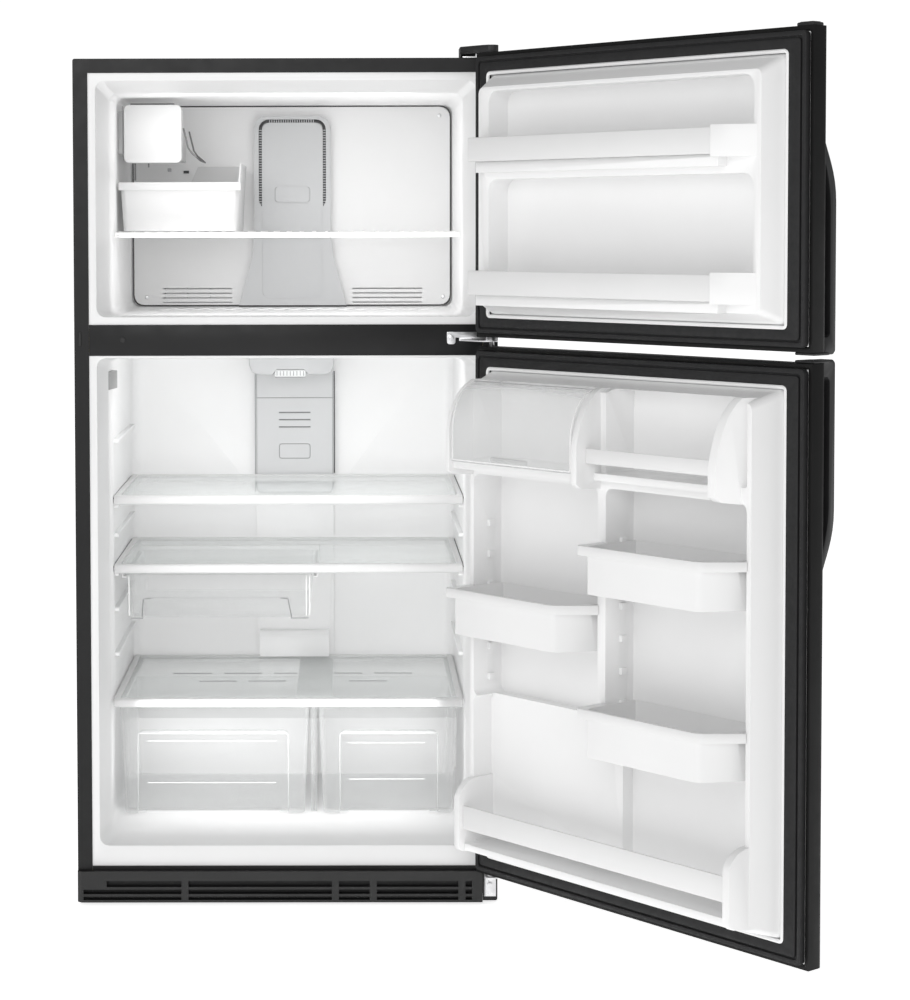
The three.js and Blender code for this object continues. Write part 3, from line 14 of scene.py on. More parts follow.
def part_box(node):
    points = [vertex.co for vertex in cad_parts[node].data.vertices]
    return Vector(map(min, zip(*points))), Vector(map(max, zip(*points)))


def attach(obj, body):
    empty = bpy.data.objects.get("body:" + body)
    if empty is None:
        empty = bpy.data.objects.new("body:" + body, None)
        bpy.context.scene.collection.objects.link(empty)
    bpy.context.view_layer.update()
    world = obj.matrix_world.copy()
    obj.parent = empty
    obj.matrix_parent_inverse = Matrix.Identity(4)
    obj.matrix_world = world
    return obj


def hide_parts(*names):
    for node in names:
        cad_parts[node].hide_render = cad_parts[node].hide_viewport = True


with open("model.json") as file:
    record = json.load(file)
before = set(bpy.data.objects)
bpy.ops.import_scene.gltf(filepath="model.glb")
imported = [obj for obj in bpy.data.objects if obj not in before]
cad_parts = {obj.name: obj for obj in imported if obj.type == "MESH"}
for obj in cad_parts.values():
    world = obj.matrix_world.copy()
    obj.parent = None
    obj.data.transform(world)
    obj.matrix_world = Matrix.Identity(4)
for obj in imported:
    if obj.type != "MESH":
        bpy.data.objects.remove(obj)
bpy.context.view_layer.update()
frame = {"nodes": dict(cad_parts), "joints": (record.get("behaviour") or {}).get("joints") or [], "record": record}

# ------------------------------------------------------------------ the cabinet's own frame
MM = 0.001
_low, _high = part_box("cabinet_wrapper")
ORIGIN = Vector(((_low.x + _high.x) / 2, _low.y, _low.z))
HALF_WIDTH = 416.0  # from the middle to the doors' hinge edge
DOOR_BACK = -12.0  # the plane of a closed door's inner panel
OPEN_DEGREES = 129.5  # how far both doors stand open at rest
SMOOTH_DEGREES = 38  # faces that meet at less than this are shaded as one surface
BEVEL_DEGREES = 32  # edges of a CAD node that turn by more than this are rounded
FLAT_DEGREES = 0.4  # faces that meet at less than this are joined
MERGE_DISTANCE = 2e-5  # in metres: corners that are closer than this are one corner


def joint(name):
    """The record's joint of that name."""
    return next(j for j in frame["joints"] if j["name"] == name)


PIN = Vector(joint("door_freezer_swing")["pos_m"])


def to_row():
    """The matrix from cabinet millimetres to row metres."""
    return Matrix.Translation(ORIGIN) @ Matrix.Scale(MM, 4)


def door_turn():
    """The matrix that turns a piece of a closed door, in row metres, to where it stands open."""
    turn = Matrix.Rotation(math.radians(OPEN_DEGREES), 4, "Z")
    return Matrix.Translation(PIN) @ turn @ Matrix.Translation(-PIN)


def door_frame():
    """The matrix from a door's millimetres to row metres, with the door open.

    Those are u from the hinge edge, h out of the inner panel, and the height z.
    """
    mirror = Matrix.Diagonal((-1, 1, 1, 1))
    mirror.translation = (HALF_WIDTH, DOOR_BACK, 0)
    return door_turn() @ to_row() @ mirror


# ------------------------------------------------------------------ camera, light and floor
# its place in the cabinet's frame, angles in degrees, lens and sensor in mm, and how far it
# sees in metres
CAMERA = {
    "place": (120.0, -4738.0, 1332.1),
    "pitch": -2.64,
    "roll": 0.13,
    "yaw": 0.28,
    "lens": 86.96,
    "sensor": 36.0,
    "shift": (0.12, -0.16),
    "far": 50.0,
}


def add_camera():
    """The camera at the photograph's viewing angle."""
    data = bpy.data.cameras.new("camera")
    data.lens = CAMERA["lens"]
    data.sensor_width = CAMERA["sensor"]
    data.shift_x, data.shift_y = CAMERA["shift"]
    data.clip_end = CAMERA["far"]
    camera = bpy.data.objects.new("camera", data)
    turn = (
        Matrix.Rotation(math.radians(CAMERA["yaw"]), 4, "Z")
        @ Matrix.Rotation(math.radians(CAMERA["roll"]), 4, "Y")
        @ Matrix.Rotation(math.radians(CAMERA["pitch"]), 4, "X")
        @ Matrix.Rotation(math.radians(90), 4, "X")
    )
    place = to_row() @ Vector(CAMERA["place"])
    camera.matrix_world = Matrix.Translation(place) @ turn
    bpy.context.scene.collection.objects.link(camera)
    bpy.context.scene.camera = camera


def add_light(name, place, aim, size, watts, shadows):
    """A soft rectangular light that the camera doesn't see."""
    data = bpy.data.lights.new(name, "AREA")
    data.shape = "RECTANGLE"
    data.size, data.size_y = size
    data.energy = watts
    data.use_shadow = shadows
    light = bpy.data.objects.new(name, data)
    light.location = place
    towards = Vector(aim) - Vector(place)
    light.rotation_euler = towards.to_track_quat("-Z", "Y").to_euler()
    light.visible_camera = False
    bpy.context.scene.collection.objects.link(light)


SKY = {"seen": 1.05, "light": 0.36}  # its strength to the camera and to everything else
FLOOR_GLOW = 0.8  # a white sweep lit from below, so that only the object's own shadow shows
FLOOR_SIZE = 60  # metres
# Each light has its name, its place and aim in the cabinet's frame, its size in metres, its
# watts, and whether it casts shadows. The fills inside the cabinet don't, because the light
# there comes from all round.
LIGHTS = [
    ("front", (-900, -3600, 2400), (0, 300, 900), (2.4, 1.8), 45, True),
    ("sweep", (-500, -2700, -500), (300, -100, 1000), (2.4, 1.0), 13, False),
    ("freezer_fill", (0, 30, 1400), (0, 500, 1370), (0.6, 0.35), 0.36, False),
    ("freezer_low_fill", (0, 40, 1240), (0, 500, 1230), (0.6, 0.1), 0.42, False),
    ("freezer_lamp", (0, 40, 1585), (0, 420, 1250), (0.5, 0.05), 0.35, True),
    ("fresh_lamp", (0, 120, 1060), (0, 420, 700), (0.5, 0.08), 0.6, True),
    ("fresh_top_fill", (0, 60, 980), (0, 500, 960), (0.6, 0.1), 0.3, False),
    ("fresh_fill", (0, 40, 700), (0, 500, 650), (0.6, 0.5), 0.5, False),
    ("crisper_fill", (0, 60, 300), (0, 500, 240), (0.6, 0.2), 0.75, False),
]


def at(x, y, z):
    """A point of the cabinet's frame, in row metres."""
    return to_row() @ Vector((x, y, z))


def add_studio():
    """A plain pale sky, and the lights."""
    world = bpy.data.worlds.new("studio")
    bpy.context.scene.world = world
    world.use_nodes = True
    tree = world.node_tree
    background = tree.nodes["Background"]
    background.inputs["Color"].default_value = (1.0, 1.0, 1.0, 1)
    seen = tree.nodes.new("ShaderNodeLightPath").outputs["Is Camera Ray"]
    strength = tree.nodes.new("ShaderNodeMapRange")
    strength.inputs["To Min"].default_value = SKY["light"]
    strength.inputs["To Max"].default_value = SKY["seen"]
    tree.links.new(seen, strength.inputs["Value"])
    tree.links.new(strength.outputs["Result"], background.inputs["Strength"])
    bpy.context.scene.view_settings.view_transform = "Standard"
    for name, place, aim, size, watts, shadows in LIGHTS:
        add_light(name, at(*place), at(*aim), size, watts, shadows)


def add_floor():
    """A plain pale floor."""
    bpy.ops.mesh.primitive_plane_add(size=FLOOR_SIZE, location=(0, 0, 0))
    floor = bpy.context.object
    floor.name = "floor"
    floor.data.materials.append(material_floor())


# ------------------------------------------------------------------ materials
NOISE_ROUGHNESS = 0.55


class Nodes:
    """A short way to build a node material: each call adds a node and links its inputs."""

    def __init__(self, name):
        self.material = bpy.data.materials.new(name)
        self.material.use_nodes = True
        self.tree = self.material.node_tree
        self.tree.nodes.clear()
        output = self.tree.nodes.new("ShaderNodeOutputMaterial")
        self.shader = self.tree.nodes.new("ShaderNodeBsdfPrincipled")
        self.tree.links.new(self.shader.outputs[0], output.inputs["Surface"])
        self.place = self.tree.nodes.new("ShaderNodeTexCoord").outputs["Object"]

    def set(self, **values):
        """Sets the shader's own sockets, with _ for each space in a name."""
        for key, value in values.items():
            self.shader.inputs[key.replace("_", " ")].default_value = value

    def link(self, source, socket):
        """Links an output to one of the shader's sockets."""
        self.tree.links.new(source, self.shader.inputs[socket])

    def noise(self, scale, detail, stretch=None):
        """Noise in the object's own metres, scaled by stretch on each axis if given."""
        node = self.tree.nodes.new("ShaderNodeTexNoise")
        node.inputs["Scale"].default_value = scale
        node.inputs["Detail"].default_value = detail
        node.inputs["Roughness"].default_value = NOISE_ROUGHNESS
        place = self.place
        if stretch:
            mapping = self.tree.nodes.new("ShaderNodeMapping")
            mapping.inputs["Scale"].default_value = stretch
            self.tree.links.new(place, mapping.inputs["Vector"])
            place = mapping.outputs["Vector"]
        self.tree.links.new(place, node.inputs["Vector"])
        return node.outputs["Fac"]

    def spread(self, value, low, high, source=(0.3, 0.7)):
        """A value, remapped from the source range to low..high."""
        node = self.tree.nodes.new("ShaderNodeMapRange")
        node.inputs["From Min"].default_value = source[0]
        node.inputs["From Max"].default_value = source[1]
        node.inputs["To Min"].default_value = low
        node.inputs["To Max"].default_value = high
        self.tree.links.new(value, node.inputs["Value"])
        return node.outputs["Result"]

    def blend(self, value, first, second):
        """A colour between first and second, by value."""
        node = self.tree.nodes.new("ShaderNodeMix")
        node.data_type = "RGBA"
        node.inputs["A"].default_value = (*first, 1)
        node.inputs["B"].default_value = (*second, 1)
        self.tree.links.new(value, node.inputs["Factor"])
        return node.outputs["Result"]

    def bump(self, height, strength, distance):
        """Adds a bump to the ones that are there already."""
        node = self.tree.nodes.new("ShaderNodeBump")
        node.inputs["Strength"].default_value = strength
        node.inputs["Distance"].default_value = distance
        self.tree.links.new(height, node.inputs["Height"])
        previous = self.shader.inputs["Normal"]
        if previous.is_linked:
            self.tree.links.new(previous.links[0].from_socket, node.inputs["Normal"])
        self.tree.links.new(node.outputs["Normal"], previous)

    def base(self, value, first, second):
        """Base colour between first and second, by value stretched over its whole range."""
        self.link(self.blend(self.spread(value, 0, 1), first, second), "Base Color")

    def edge_facing(self, blend):
        """How far the surface is turned edge on."""
        node = self.tree.nodes.new("ShaderNodeLayerWeight")
        node.inputs["Blend"].default_value = blend
        return node.outputs["Facing"]


def painted_steel(name, colour, rough, shine=0.26):
    """Sprayed enamel on sheet steel: orange peel, and a faint haze of handling."""
    n = Nodes(name)
    n.base(n.noise(9, 4), colour, [c * 1.18 + 0.001 for c in colour])
    n.link(n.spread(n.noise(38, 3), rough - 0.05, rough + 0.08), "Roughness")
    n.set(Specular_IOR_Level=shine, Coat_Weight=0.04, Coat_Roughness=0.3)
    n.bump(n.noise(900, 2), 0.05, 0.0004)
    n.bump(n.noise(160, 2), 0.04, 0.0006)
    return n.material


def moulded_plastic(name, colour, rough, grain=2400, bump=0.05, tint=1.02):
    """Injection-moulded plastic: fine grain, and colour that shifts a little over the part."""
    n = Nodes(name)
    n.base(n.noise(7, 3), colour, [min(1.0, c * tint) for c in colour])
    n.link(n.spread(n.noise(14, 2), rough - 0.02, rough + 0.03), "Roughness")
    n.bump(n.noise(grain, 2), bump, 0.0001)
    n.bump(n.noise(18, 1), 0.02, 0.0008)
    return n.material


def clear_plastic(name, colour, through, edge, rough=0.08):
    """A clear sheet: almost nothing face on, brighter where it is seen along its edges."""
    n = Nodes(name)
    n.base(n.noise(12, 3), colour, [c * 0.97 for c in colour])
    n.link(n.spread(n.edge_facing(0.35), through, edge, (0.0, 1.0)), "Alpha")
    n.link(n.spread(n.noise(60, 3), rough - 0.02, rough + 0.06), "Roughness")
    n.set(IOR=1.5)
    n.bump(n.noise(300, 2), 0.03, 0.0003)
    return n.material


def plated_metal(name, colour, rough, stretch=(1, 1, 1), grain=700):
    """Plated or rolled sheet: fine brushed grain and a cloudy patina."""
    n = Nodes(name)
    n.base(n.noise(55, 4), colour, [c * 0.82 for c in colour])
    n.link(n.spread(n.noise(120, 4), rough - 0.07, rough + 0.1), "Roughness")
    n.set(Metallic=1.0)
    n.bump(n.noise(grain, 3, stretch=stretch), 0.08, 0.0003)
    return n.material


def vinyl(name, colour):
    """A soft extruded seal: a fine matt grain and a little sheen."""
    n = Nodes(name)
    n.base(n.noise(30, 3), colour, [c * 1.3 for c in colour])
    n.link(n.spread(n.noise(90, 3), 0.5, 0.68), "Roughness")
    n.set(Sheen_Weight=0.05, Sheen_Roughness=0.4, Specular_IOR_Level=0.3)
    n.bump(n.noise(1500, 2), 0.12, 0.0003)
    return n.material


def foam(name):
    """Cream insulating foam with open cells."""
    n = Nodes(name)
    n.base(n.noise(25, 5), (0.72, 0.6, 0.33), (0.85, 0.76, 0.5))
    n.set(Roughness=0.95)
    n.bump(n.noise(240, 5), 0.6, 0.003)
    return n.material


def material_floor():
    """White paper with a faint glow."""
    n = Nodes("studio_floor")
    n.base(n.noise(0.6, 2), (0.93, 0.93, 0.93), (0.96, 0.96, 0.96))
    n.set(Roughness=0.5, Emission_Color=(1, 1, 1, 1), Emission_Strength=FLOOR_GLOW)
    n.bump(n.noise(35, 3), 0.02, 0.001)
    return n.material


# the look of each of the record's slots
LOOKS = {
    "black_steel": painted_steel("black_enamel_steel", (0.0075, 0.0075, 0.0078), 0.4),
    "black_plastic": moulded_plastic(
        "black_plastic", (0.011, 0.011, 0.0115), 0.4, 1500, 0.12, 1.3
    ),
    "black_gasket": vinyl("black_vinyl", (0.011, 0.011, 0.0115)),
    "white_liner": moulded_plastic("white_liner", (0.8, 0.8, 0.8), 0.34, 1400, 0.06),
    "white_plastic": moulded_plastic("white_plastic", (0.71, 0.71, 0.71), 0.34, 2200, 0.04),
    "white_coated_wire": moulded_plastic("white_coating", (0.84, 0.84, 0.83), 0.35, 900, 0.1),
    "grey_plastic": moulded_plastic("grey_plastic", (0.47, 0.475, 0.48), 0.42, 1200, 0.12),
    "switch_grey": moulded_plastic("switch_grey", (0.33, 0.33, 0.33), 0.45, 1200, 0.1),
    "clear_plastic": clear_plastic("clear_plastic", (0.92, 0.93, 0.93), 0.07, 0.45),
    "shelf_glass": clear_plastic("shelf_glass", (0.9, 0.94, 0.93), 0.08, 0.35, 0.05),
    "zinc": plated_metal("zinc_plate", (0.74, 0.74, 0.75), 0.32, (1, 1, 6)),
    "galvanised": plated_metal("galvanised_sheet", (0.5, 0.51, 0.52), 0.45, (6, 1, 1), 300),
    "aluminium": plated_metal("aluminium_fin", (0.75, 0.76, 0.77), 0.35, (1, 1, 8)),
    "black_metal": painted_steel("black_metal", (0.012, 0.012, 0.012), 0.4),
    "foam": foam("cream_foam"),
}
# looks of small details and of the nodes in NODE_LOOKS, each with the record's slot that it
# takes its finish from
DETAILS = {
    "shadow_gap": ("black_gasket", moulded_plastic("shadow_gap", (0.045, 0.045, 0.046), 0.6)),
    # painted shade: grey lines in seams, along label edges and under the dairy cover's top edge
    "soft_shade_line": ("grey_plastic", moulded_plastic("soft_shade_line", (0.34, 0.345, 0.35), 0.5)),
    # painted shade in slots, between the lamp lens's ribs and in the gaps round the ice maker; also the colour of
    # a few small dark bits below the ice maker
    "slot_shade_and_dark_bits": ("grey_plastic", moulded_plastic("slot_shade_and_dark_bits", (0.2, 0.2, 0.205), 0.5)),
    # painted shade along the edges of the crispers' hand holds
    "clear_edge_shade": ("clear_plastic", clear_plastic("clear_edge_shade", (0.6, 0.61, 0.61), 0.45, 0.8)),
    # painted highlights on clear edges and steps of the drawers and the dairy cover
    "highlight_edge": ("clear_plastic", clear_plastic("highlight_edge", (0.98, 0.98, 0.98), 0.6, 0.95)),
    "lid_clear": ("clear_plastic", clear_plastic("lid_clear", (0.97, 0.98, 0.98), 0.1, 0.5)),
    # painted shade at the ends of the deli drawer's hand hold
    "drawer_shade_line": ("clear_plastic", clear_plastic("drawer_shade_line", (0.2, 0.21, 0.21), 0.6, 0.9)),
    "lamp_lens": ("clear_plastic", moulded_plastic("lamp_lens", (0.6, 0.61, 0.61), 0.25)),
    "lamp_grey": ("grey_plastic", moulded_plastic("lamp_grey", (0.42, 0.425, 0.43), 0.42)),
    # painted shade: darker copies of the white plastic for the ice maker, the ice bin and the shelf frames
    "ice_white_shaded": ("white_plastic", moulded_plastic("ice_white_shaded", (0.58, 0.58, 0.58), 0.4)),
    "shelf_white_shaded": ("white_plastic", moulded_plastic("shelf_white_shaded", (0.64, 0.64, 0.64), 0.36)),
    "arm_wire": ("galvanised", plated_metal("arm_wire", (0.2, 0.2, 0.2), 0.4)),
    # painted light: a lighter copy of the grey plastic for the fresh food tower
    "tower_grey_lit": ("grey_plastic", moulded_plastic("tower_grey_lit", (0.56, 0.565, 0.57), 0.42)),
    "door_steel": ("black_steel", painted_steel("door_enamel_steel", (0.006,) * 3, 0.46, 0.16)),
    "grille_black": ("black_plastic", moulded_plastic("grille_black", (0.006,) * 3, 0.55, 1500)),
}
# nodes that differ a little from the rest of their slot; the ice maker, the ice bin and the upper and middle shelf
# frames take a darker copy, and the fresh food tower a lighter copy, of their slot's colour, as painted shade and
# painted light
NODE_LOOKS = {
    "toe_grille": "grille_black",
    "fresh_air_tower": "tower_grey_lit",
    "freezer_door_skin": "door_steel",
    "fresh_door_skin": "door_steel",
    "light_housing": "lamp_grey",
    "light_lens": "lamp_lens",
    "dairy_lid": "lid_clear",
    "ice_maker": "ice_white_shaded",
    "ice_bin": "ice_white_shaded",
    "ice_maker_arm": "arm_wire",
    "upper_shelf_frame": "shelf_white_shaded",
    "middle_shelf_frame": "shelf_white_shaded",
}
NODE_SLOT = {row["node"]: row["material_slot"] for row in frame["record"]["subparts"]}
# nodes whose many small pegs leave slivers where faces are joined
KEPT_FACETS = {"fresh_door_liner"}


def look_of(node):
    """The look of a CAD node: its own, or its slot's."""
    return NODE_LOOKS.get(node, NODE_SLOT[node])


def slot_and_material(look):
    """The record's slot and the material of a look."""
    return DETAILS[look] if look in DETAILS else (look, LOOKS[look])


# ------------------------------------------------------------------ mesh helpers
def new_piece(name, mesh, body, look, *nodes):
    """A finished mesh, put on a body with a look, that stands for some CAD nodes."""
    piece = bpy.data.objects.new(name, mesh)
    bpy.context.scene.collection.objects.link(piece)
    slot, material = slot_and_material(look)
    mesh.materials.clear()
    mesh.materials.append(material)
    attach(piece, body)
    if nodes:
        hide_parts(*nodes)


def smooth_by_angle(mesh):
    """Smooth faces, with hard edges where they meet at more than SMOOTH_DEGREES."""
    bm = bmesh.new()
    bm.from_mesh(mesh)
    limit = math.radians(SMOOTH_DEGREES)
    for edge in bm.edges:
        edge.smooth = len(edge.link_faces) == 2 and edge.calc_face_angle(0) < limit
    for face in bm.faces:
        face.smooth = True
    bm.to_mesh(mesh)
    bm.free()


def clean_copy(node):
    """A bmesh of a CAD node with shared corners merged and flat faces joined."""
    bm = bmesh.new()
    bm.from_mesh(frame["nodes"][node].data)
    bmesh.ops.remove_doubles(bm, verts=bm.verts, dist=MERGE_DISTANCE)
    if node not in KEPT_FACETS:
        flat = math.radians(FLAT_DEGREES)
        bmesh.ops.dissolve_limit(bm, angle_limit=flat, verts=bm.verts, edges=bm.edges)
    return bm


def rounded(node, radius):
    """The CAD node's shape with its edges rounded, as a new mesh."""
    mesh = bpy.data.meshes.new(node + "_soft")
    bm = clean_copy(node)
    bm.to_mesh(mesh)
    bm.free()
    holder = bpy.data.objects.new("holder", mesh)
    bpy.context.scene.collection.objects.link(holder)
    bevel = holder.modifiers.new("bevel", "BEVEL")
    bevel.width = radius * MM
    bevel.segments = 2
    bevel.limit_method = "ANGLE"
    bevel.angle_limit = math.radians(BEVEL_DEGREES)
    bevel.use_clamp_overlap = True
    bevel.miter_outer = "MITER_ARC"
    bpy.context.view_layer.update()
    ready = holder.evaluated_get(bpy.context.evaluated_depsgraph_get())
    made = bpy.data.meshes.new_from_object(ready)
    bpy.data.objects.remove(holder)
    smooth_by_angle(made)
    return made


class Solids:
    """Gathers rounded bars and rods in one mesh, in the millimetres of a cabinet or a door."""

    def __init__(self):
        self.bm = bmesh.new()

    def round_edges(self, edges, radius, segments):
        """Bevels some edges in place."""
        bmesh.ops.bevel(
            self.bm, geom=edges, offset=radius, segments=segments, profile=0.5, affect="EDGES"
        )

    def tube(self, pairs):
        """Faces between the two rings of points of each pair."""
        for first, second in pairs:
            count = len(first)
            for k in range(count):
                n = (k + 1) % count
                self.bm.faces.new((first[k], first[n], second[n], second[k]))

    def close(self, rings):
        """The two end faces of a tube."""
        self.bm.faces.new(rings[0][::-1])
        self.bm.faces.new(rings[-1])

    def slab(self, x, y, z, radius, segments=2):
        """A block between two corners, with its edges rounded."""
        verts = bmesh.ops.create_cube(self.bm, size=1.0)["verts"]
        size = Matrix.Diagonal((x[1] - x[0], y[1] - y[0], z[1] - z[0], 1))
        middle = Matrix.Translation([(a + b) / 2 for a, b in (x, y, z)])
        bmesh.ops.transform(self.bm, matrix=middle @ size, verts=verts)
        edges = list(dict.fromkeys(edge for vert in verts for edge in vert.link_edges))
        self.round_edges(edges, radius, segments)

    def prism(self, outline, y, radius):
        """An outline of (x, z) points pushed along Y, with its edges rounded."""
        front, back = ([self.bm.verts.new((x, depth, z)) for x, z in outline] for depth in y)
        count = len(outline)
        faces = [self.bm.faces.new(front[::-1]), self.bm.faces.new(back)]
        for i in range(count):
            n = (i + 1) % count
            faces.append(self.bm.faces.new((front[i], front[n], back[n], back[i])))
        edges = list(dict.fromkeys(edge for face in faces for edge in face.edges))
        self.round_edges(edges, radius, 3)

    def rod(self, path, radius, sides=8, closed=False):
        """A round rod along a path."""
        points = [Vector(p) for p in path]
        count = len(points)
        turns = [2 * math.pi * k / sides for k in range(sides)]
        side = None
        rings = []
        for i, point in enumerate(points):
            before = points[i - 1] if i or closed else point
            after = points[(i + 1) % count] if i + 1 < count or closed else point
            along = (after - before).normalized()
            guess = side or along.orthogonal()
            side = (guess - along * guess.dot(along)).normalized()
            other = along.cross(side)
            ring = [point + (side * math.cos(t) + other * math.sin(t)) * radius for t in turns]
            rings.append([self.bm.verts.new(place) for place in ring])
        self.tube(zip(rings, rings[1:]))
        if closed:
            self.tube([(rings[-1], rings[0])])
        else:
            self.close(rings)

    def dome(self, centre, axis, radius, height, steps=20):
        """A low button or screw head: a flat-topped dome on a surface, facing along axis."""
        profile = [(1.0, 0.0), (1.0, 0.45), (0.86, 0.8), (0.6, 1.0)]
        turn = Vector(axis).to_track_quat("Z", "Y").to_matrix()
        angles = [2 * math.pi * k / steps for k in range(steps)]
        rings = []
        for across, up in profile:
            wide, high = radius * across, height * up
            ring = [Vector((wide * math.cos(a), wide * math.sin(a), high)) for a in angles]
            rings.append([self.bm.verts.new(Vector(centre) + turn @ point) for point in ring])
        self.tube(zip(rings, rings[1:]))
        self.close(rings)

    def piece(self, name, place, body, look, *nodes):
        """The gathered solids as a piece, moved by the matrix place."""
        bmesh.ops.transform(self.bm, matrix=place, verts=self.bm.verts)
        bmesh.ops.recalc_face_normals(self.bm, faces=self.bm.faces)
        mesh = bpy.data.meshes.new(name)
        self.bm.to_mesh(mesh)
        self.bm.free()
        smooth_by_angle(mesh)
        new_piece(name, mesh, body, look, *nodes)


def rounded_path(corners, radius, closed=True, steps=5):
    """The points of a path through corners, with each turn rounded."""
    points = []
    count = len(corners)
    for i, corner in enumerate(corners):
        here = Vector(corner)
        if not closed and i in (0, count - 1):
            points.append(here)
            continue
        before = here + (Vector(corners[i - 1]) - here).normalized() * radius
        after = here + (Vector(corners[(i + 1) % count]) - here).normalized() * radius
        for k in range(steps + 1):
            t = k / steps
            points.append(before * (1 - t) ** 2 + here * (2 * t * (1 - t)) + after * t**2)
    return points


def body_of(node):
    """The body that a CAD node belongs to."""
    bodies = frame["record"]["behaviour"]["bodies"]
    return next(body for body, members in bodies.items() if node in members)


def soften(node, radius):
    """Replaces a CAD node by its own shape with rounded edges."""
    new_piece(node + "_finish", rounded(node, radius), body_of(node), look_of(node), node)


# ------------------------------------------------------------------ the scene
def dress_frame():
    """Gives every CAD node its look, for the nodes that stay as they are."""
    for name, obj in frame["nodes"].items():
        obj.data.materials.clear()
        obj.data.materials.append(slot_and_material(look_of(name))[1])


# nodes that are shown with rounded edges, and the radius of each in mm
SOFTENED = {
    "mullion_bar": 0.5,
    "freezer_liner": 1.1,
    "fresh_food_liner": 1.1,
    "top_hinge": 0.5,
    "hinge_cover": 2.5,
    "center_hinge": 0.5,
    "bottom_hinge": 0.5,
    "front_foot_left": 1.0,
    "front_foot_right": 1.0,
    "rear_roller_left": 1.5,
    "rear_roller_right": 1.5,
    "compressor": 1.0,
    "condenser_coil": 0.8,
    "condenser_fan_motor": 1.0,
    "condenser_fan": 0.5,
    "evaporator_coil": 0.2,
    "evaporator_fan_motor": 1.0,
    "evaporator_fan": 0.5,
    "ice_maker": 2.5,
    "ice_maker_arm": 0.1,
    "ice_bin": 1.2,
    "light_switch": 1.5,
    "upper_shelf_frame": 2.5,
    "upper_shelf_glass": 0.6,
    "middle_shelf_frame": 2.5,
    "middle_shelf_glass": 0.6,
    "crisper_shelf_glass": 0.6,
    "crisper_left": 1.0,
    "crisper_right": 1.0,
    "deli_drawer": 1.0,
    "deli_hanger": 0.6,
    "freezer_door_skin": 0.9,
    "freezer_door_liner": 3.0,
    "freezer_door_gasket": 1.5,
    "freezer_door_rail_upper": 2.5,
    "freezer_door_rail_lower": 2.5,
    "freezer_door_handle": 4.0,
    "fresh_door_skin": 0.9,
    "fresh_door_liner": 1.2,
    "fresh_door_gasket": 1.5,
    "dairy_lid": 0.8,
    "utility_rail": 1.2,
    "bottom_rail": 1.2,
    "door_bin_left": 2.4,
    "door_bin_right_upper": 2.4,
    "door_bin_right_lower": 2.4,
    "fresh_door_handle": 4.0,
}


# ------------------------------------------------------------------ inside the cabinet
def wire_shelf():
    """White-coated wires from front to back that turn down over a double front rail."""
    half, front, back, top = 346, 120, 505, 1327
    count, left, pitch = 27, -338, 26
    wire, rail, bar = 2.0, 3.0, 2.6  # radii
    wires = Solids()
    for i in range(count):
        x = left + i * pitch
        path = [(back, top - 2), (front + 6, top - 2), (front + 2, top - 3.2), (front, top - 11)]
        wires.rod([(x, y, z) for y, z in path], wire)
    for y, z, radius in (
        (front + 2.4, top - 4.5, rail),
        (front + 2.4, top - 9.5, rail),
        (300, top - 6.5, bar),
        (back - 3, top - 6.5, bar),
    ):
        wires.rod([(-half, y, z), (half, y, z)], radius, 10)
    for x in (-half + bar, half - bar):
        wires.rod([(x, front + 4, top - 5), (x, back - 2, top - 5)], bar, 10)
    wires.piece("wire_shelf_rods", to_row(), "cabinet", "white_coated_wire", "wire_shelf")


def freezer_seam_shadows():
    """Painted shadow in the seam round the evaporator cover, and in two gaps at its foot and in its middle."""
    cover = 543.5
    # painted shadow: dark rods and slabs in the seam and gaps
    seam = Solids()
    corners = [(-346, 1165), (346, 1165), (346, 1598), (-346, 1598)]
    seam.rod(rounded_path([(x, cover, z) for x, z in corners], 24), 1.5, 6, closed=True)
    seam.slab((-115, 119), (517, 521), (1162.3, 1165.8), 0.4)
    seam.slab((-236, -224), (541, 543.2), (1453, 1459), 0.5)
    seam.piece("freezer_seam_shadows", to_row(), "cabinet", "shadow_gap")


def freezer_tower_details():
    """Painted shade in the arched groove of the freezer's air tower, its vent teeth, and a painted shade line
    along its label's edge.
    """
    # painted shade: a dark rod along the groove
    groove = Solids()
    sides = [(-67.5, 1380), (-67.5, 1565.5), (71.5, 1565.5), (71.5, 1380)]
    path = rounded_path([(x, 521.4, z) for x, z in sides], 20, closed=False)
    groove.rod(path, 3.1, 8)
    groove.piece("freezer_tower_groove_shade", to_row(), "cabinet", "shadow_gap")

    teeth = Solids()
    thick, depth = 1.7, (516.6, 522)
    side_count, side_pitch, top_count, top_pitch = 30, 5.5, 20, 5
    for left in (-71, 68):
        for i in range(side_count):
            z = 1385 + i * side_pitch
            teeth.slab((left, left + 7), depth, (z, z + thick), 0.3, 1)
    for i in range(top_count):
        x = -48 + i * top_pitch
        teeth.slab((x, x + thick), depth, (1562, 1569), 0.3, 1)
    teeth.piece("freezer_tower_teeth", to_row(), "cabinet", "grey_plastic")

    # painted shade: a grey line round the label
    label_edge_shade = Solids()
    outline = [(-36, 1391), (40, 1391), (40, 1422), (-36, 1422)]
    label_edge_shade.rod(rounded_path([(x, 519.1, z) for x, z in outline], 6), 0.7, 6, closed=True)
    label_edge_shade.piece("freezer_tower_label_edge_shade", to_row(), "cabinet", "soft_shade_line")


def freezer_screws_and_ribs():
    """The evaporator cover's screws, and two rows of ribs moulded in the freezer's floor."""
    screws = Solids()
    for x, z in ((322, 1578), (-318, 1183), (330, 1183)):
        screws.dome((x, 543, z), (0, -1, 0), 4.2, 1.6)
    screws.piece("freezer_cover_screws", to_row(), "cabinet", "zinc")

    ribs = Solids()
    count, pitch, height = 17, 34, (1161.6, 1163.2)
    for i in range(count):
        x = -272 + i * pitch
        ribs.slab((x, x + 22), (330, 338), height, 0.7)
        ribs.slab((x + 12, x + 34), (400, 408), height, 0.7)
    ribs.piece("freezer_floor_ribs", to_row(), "cabinet", "white_liner")


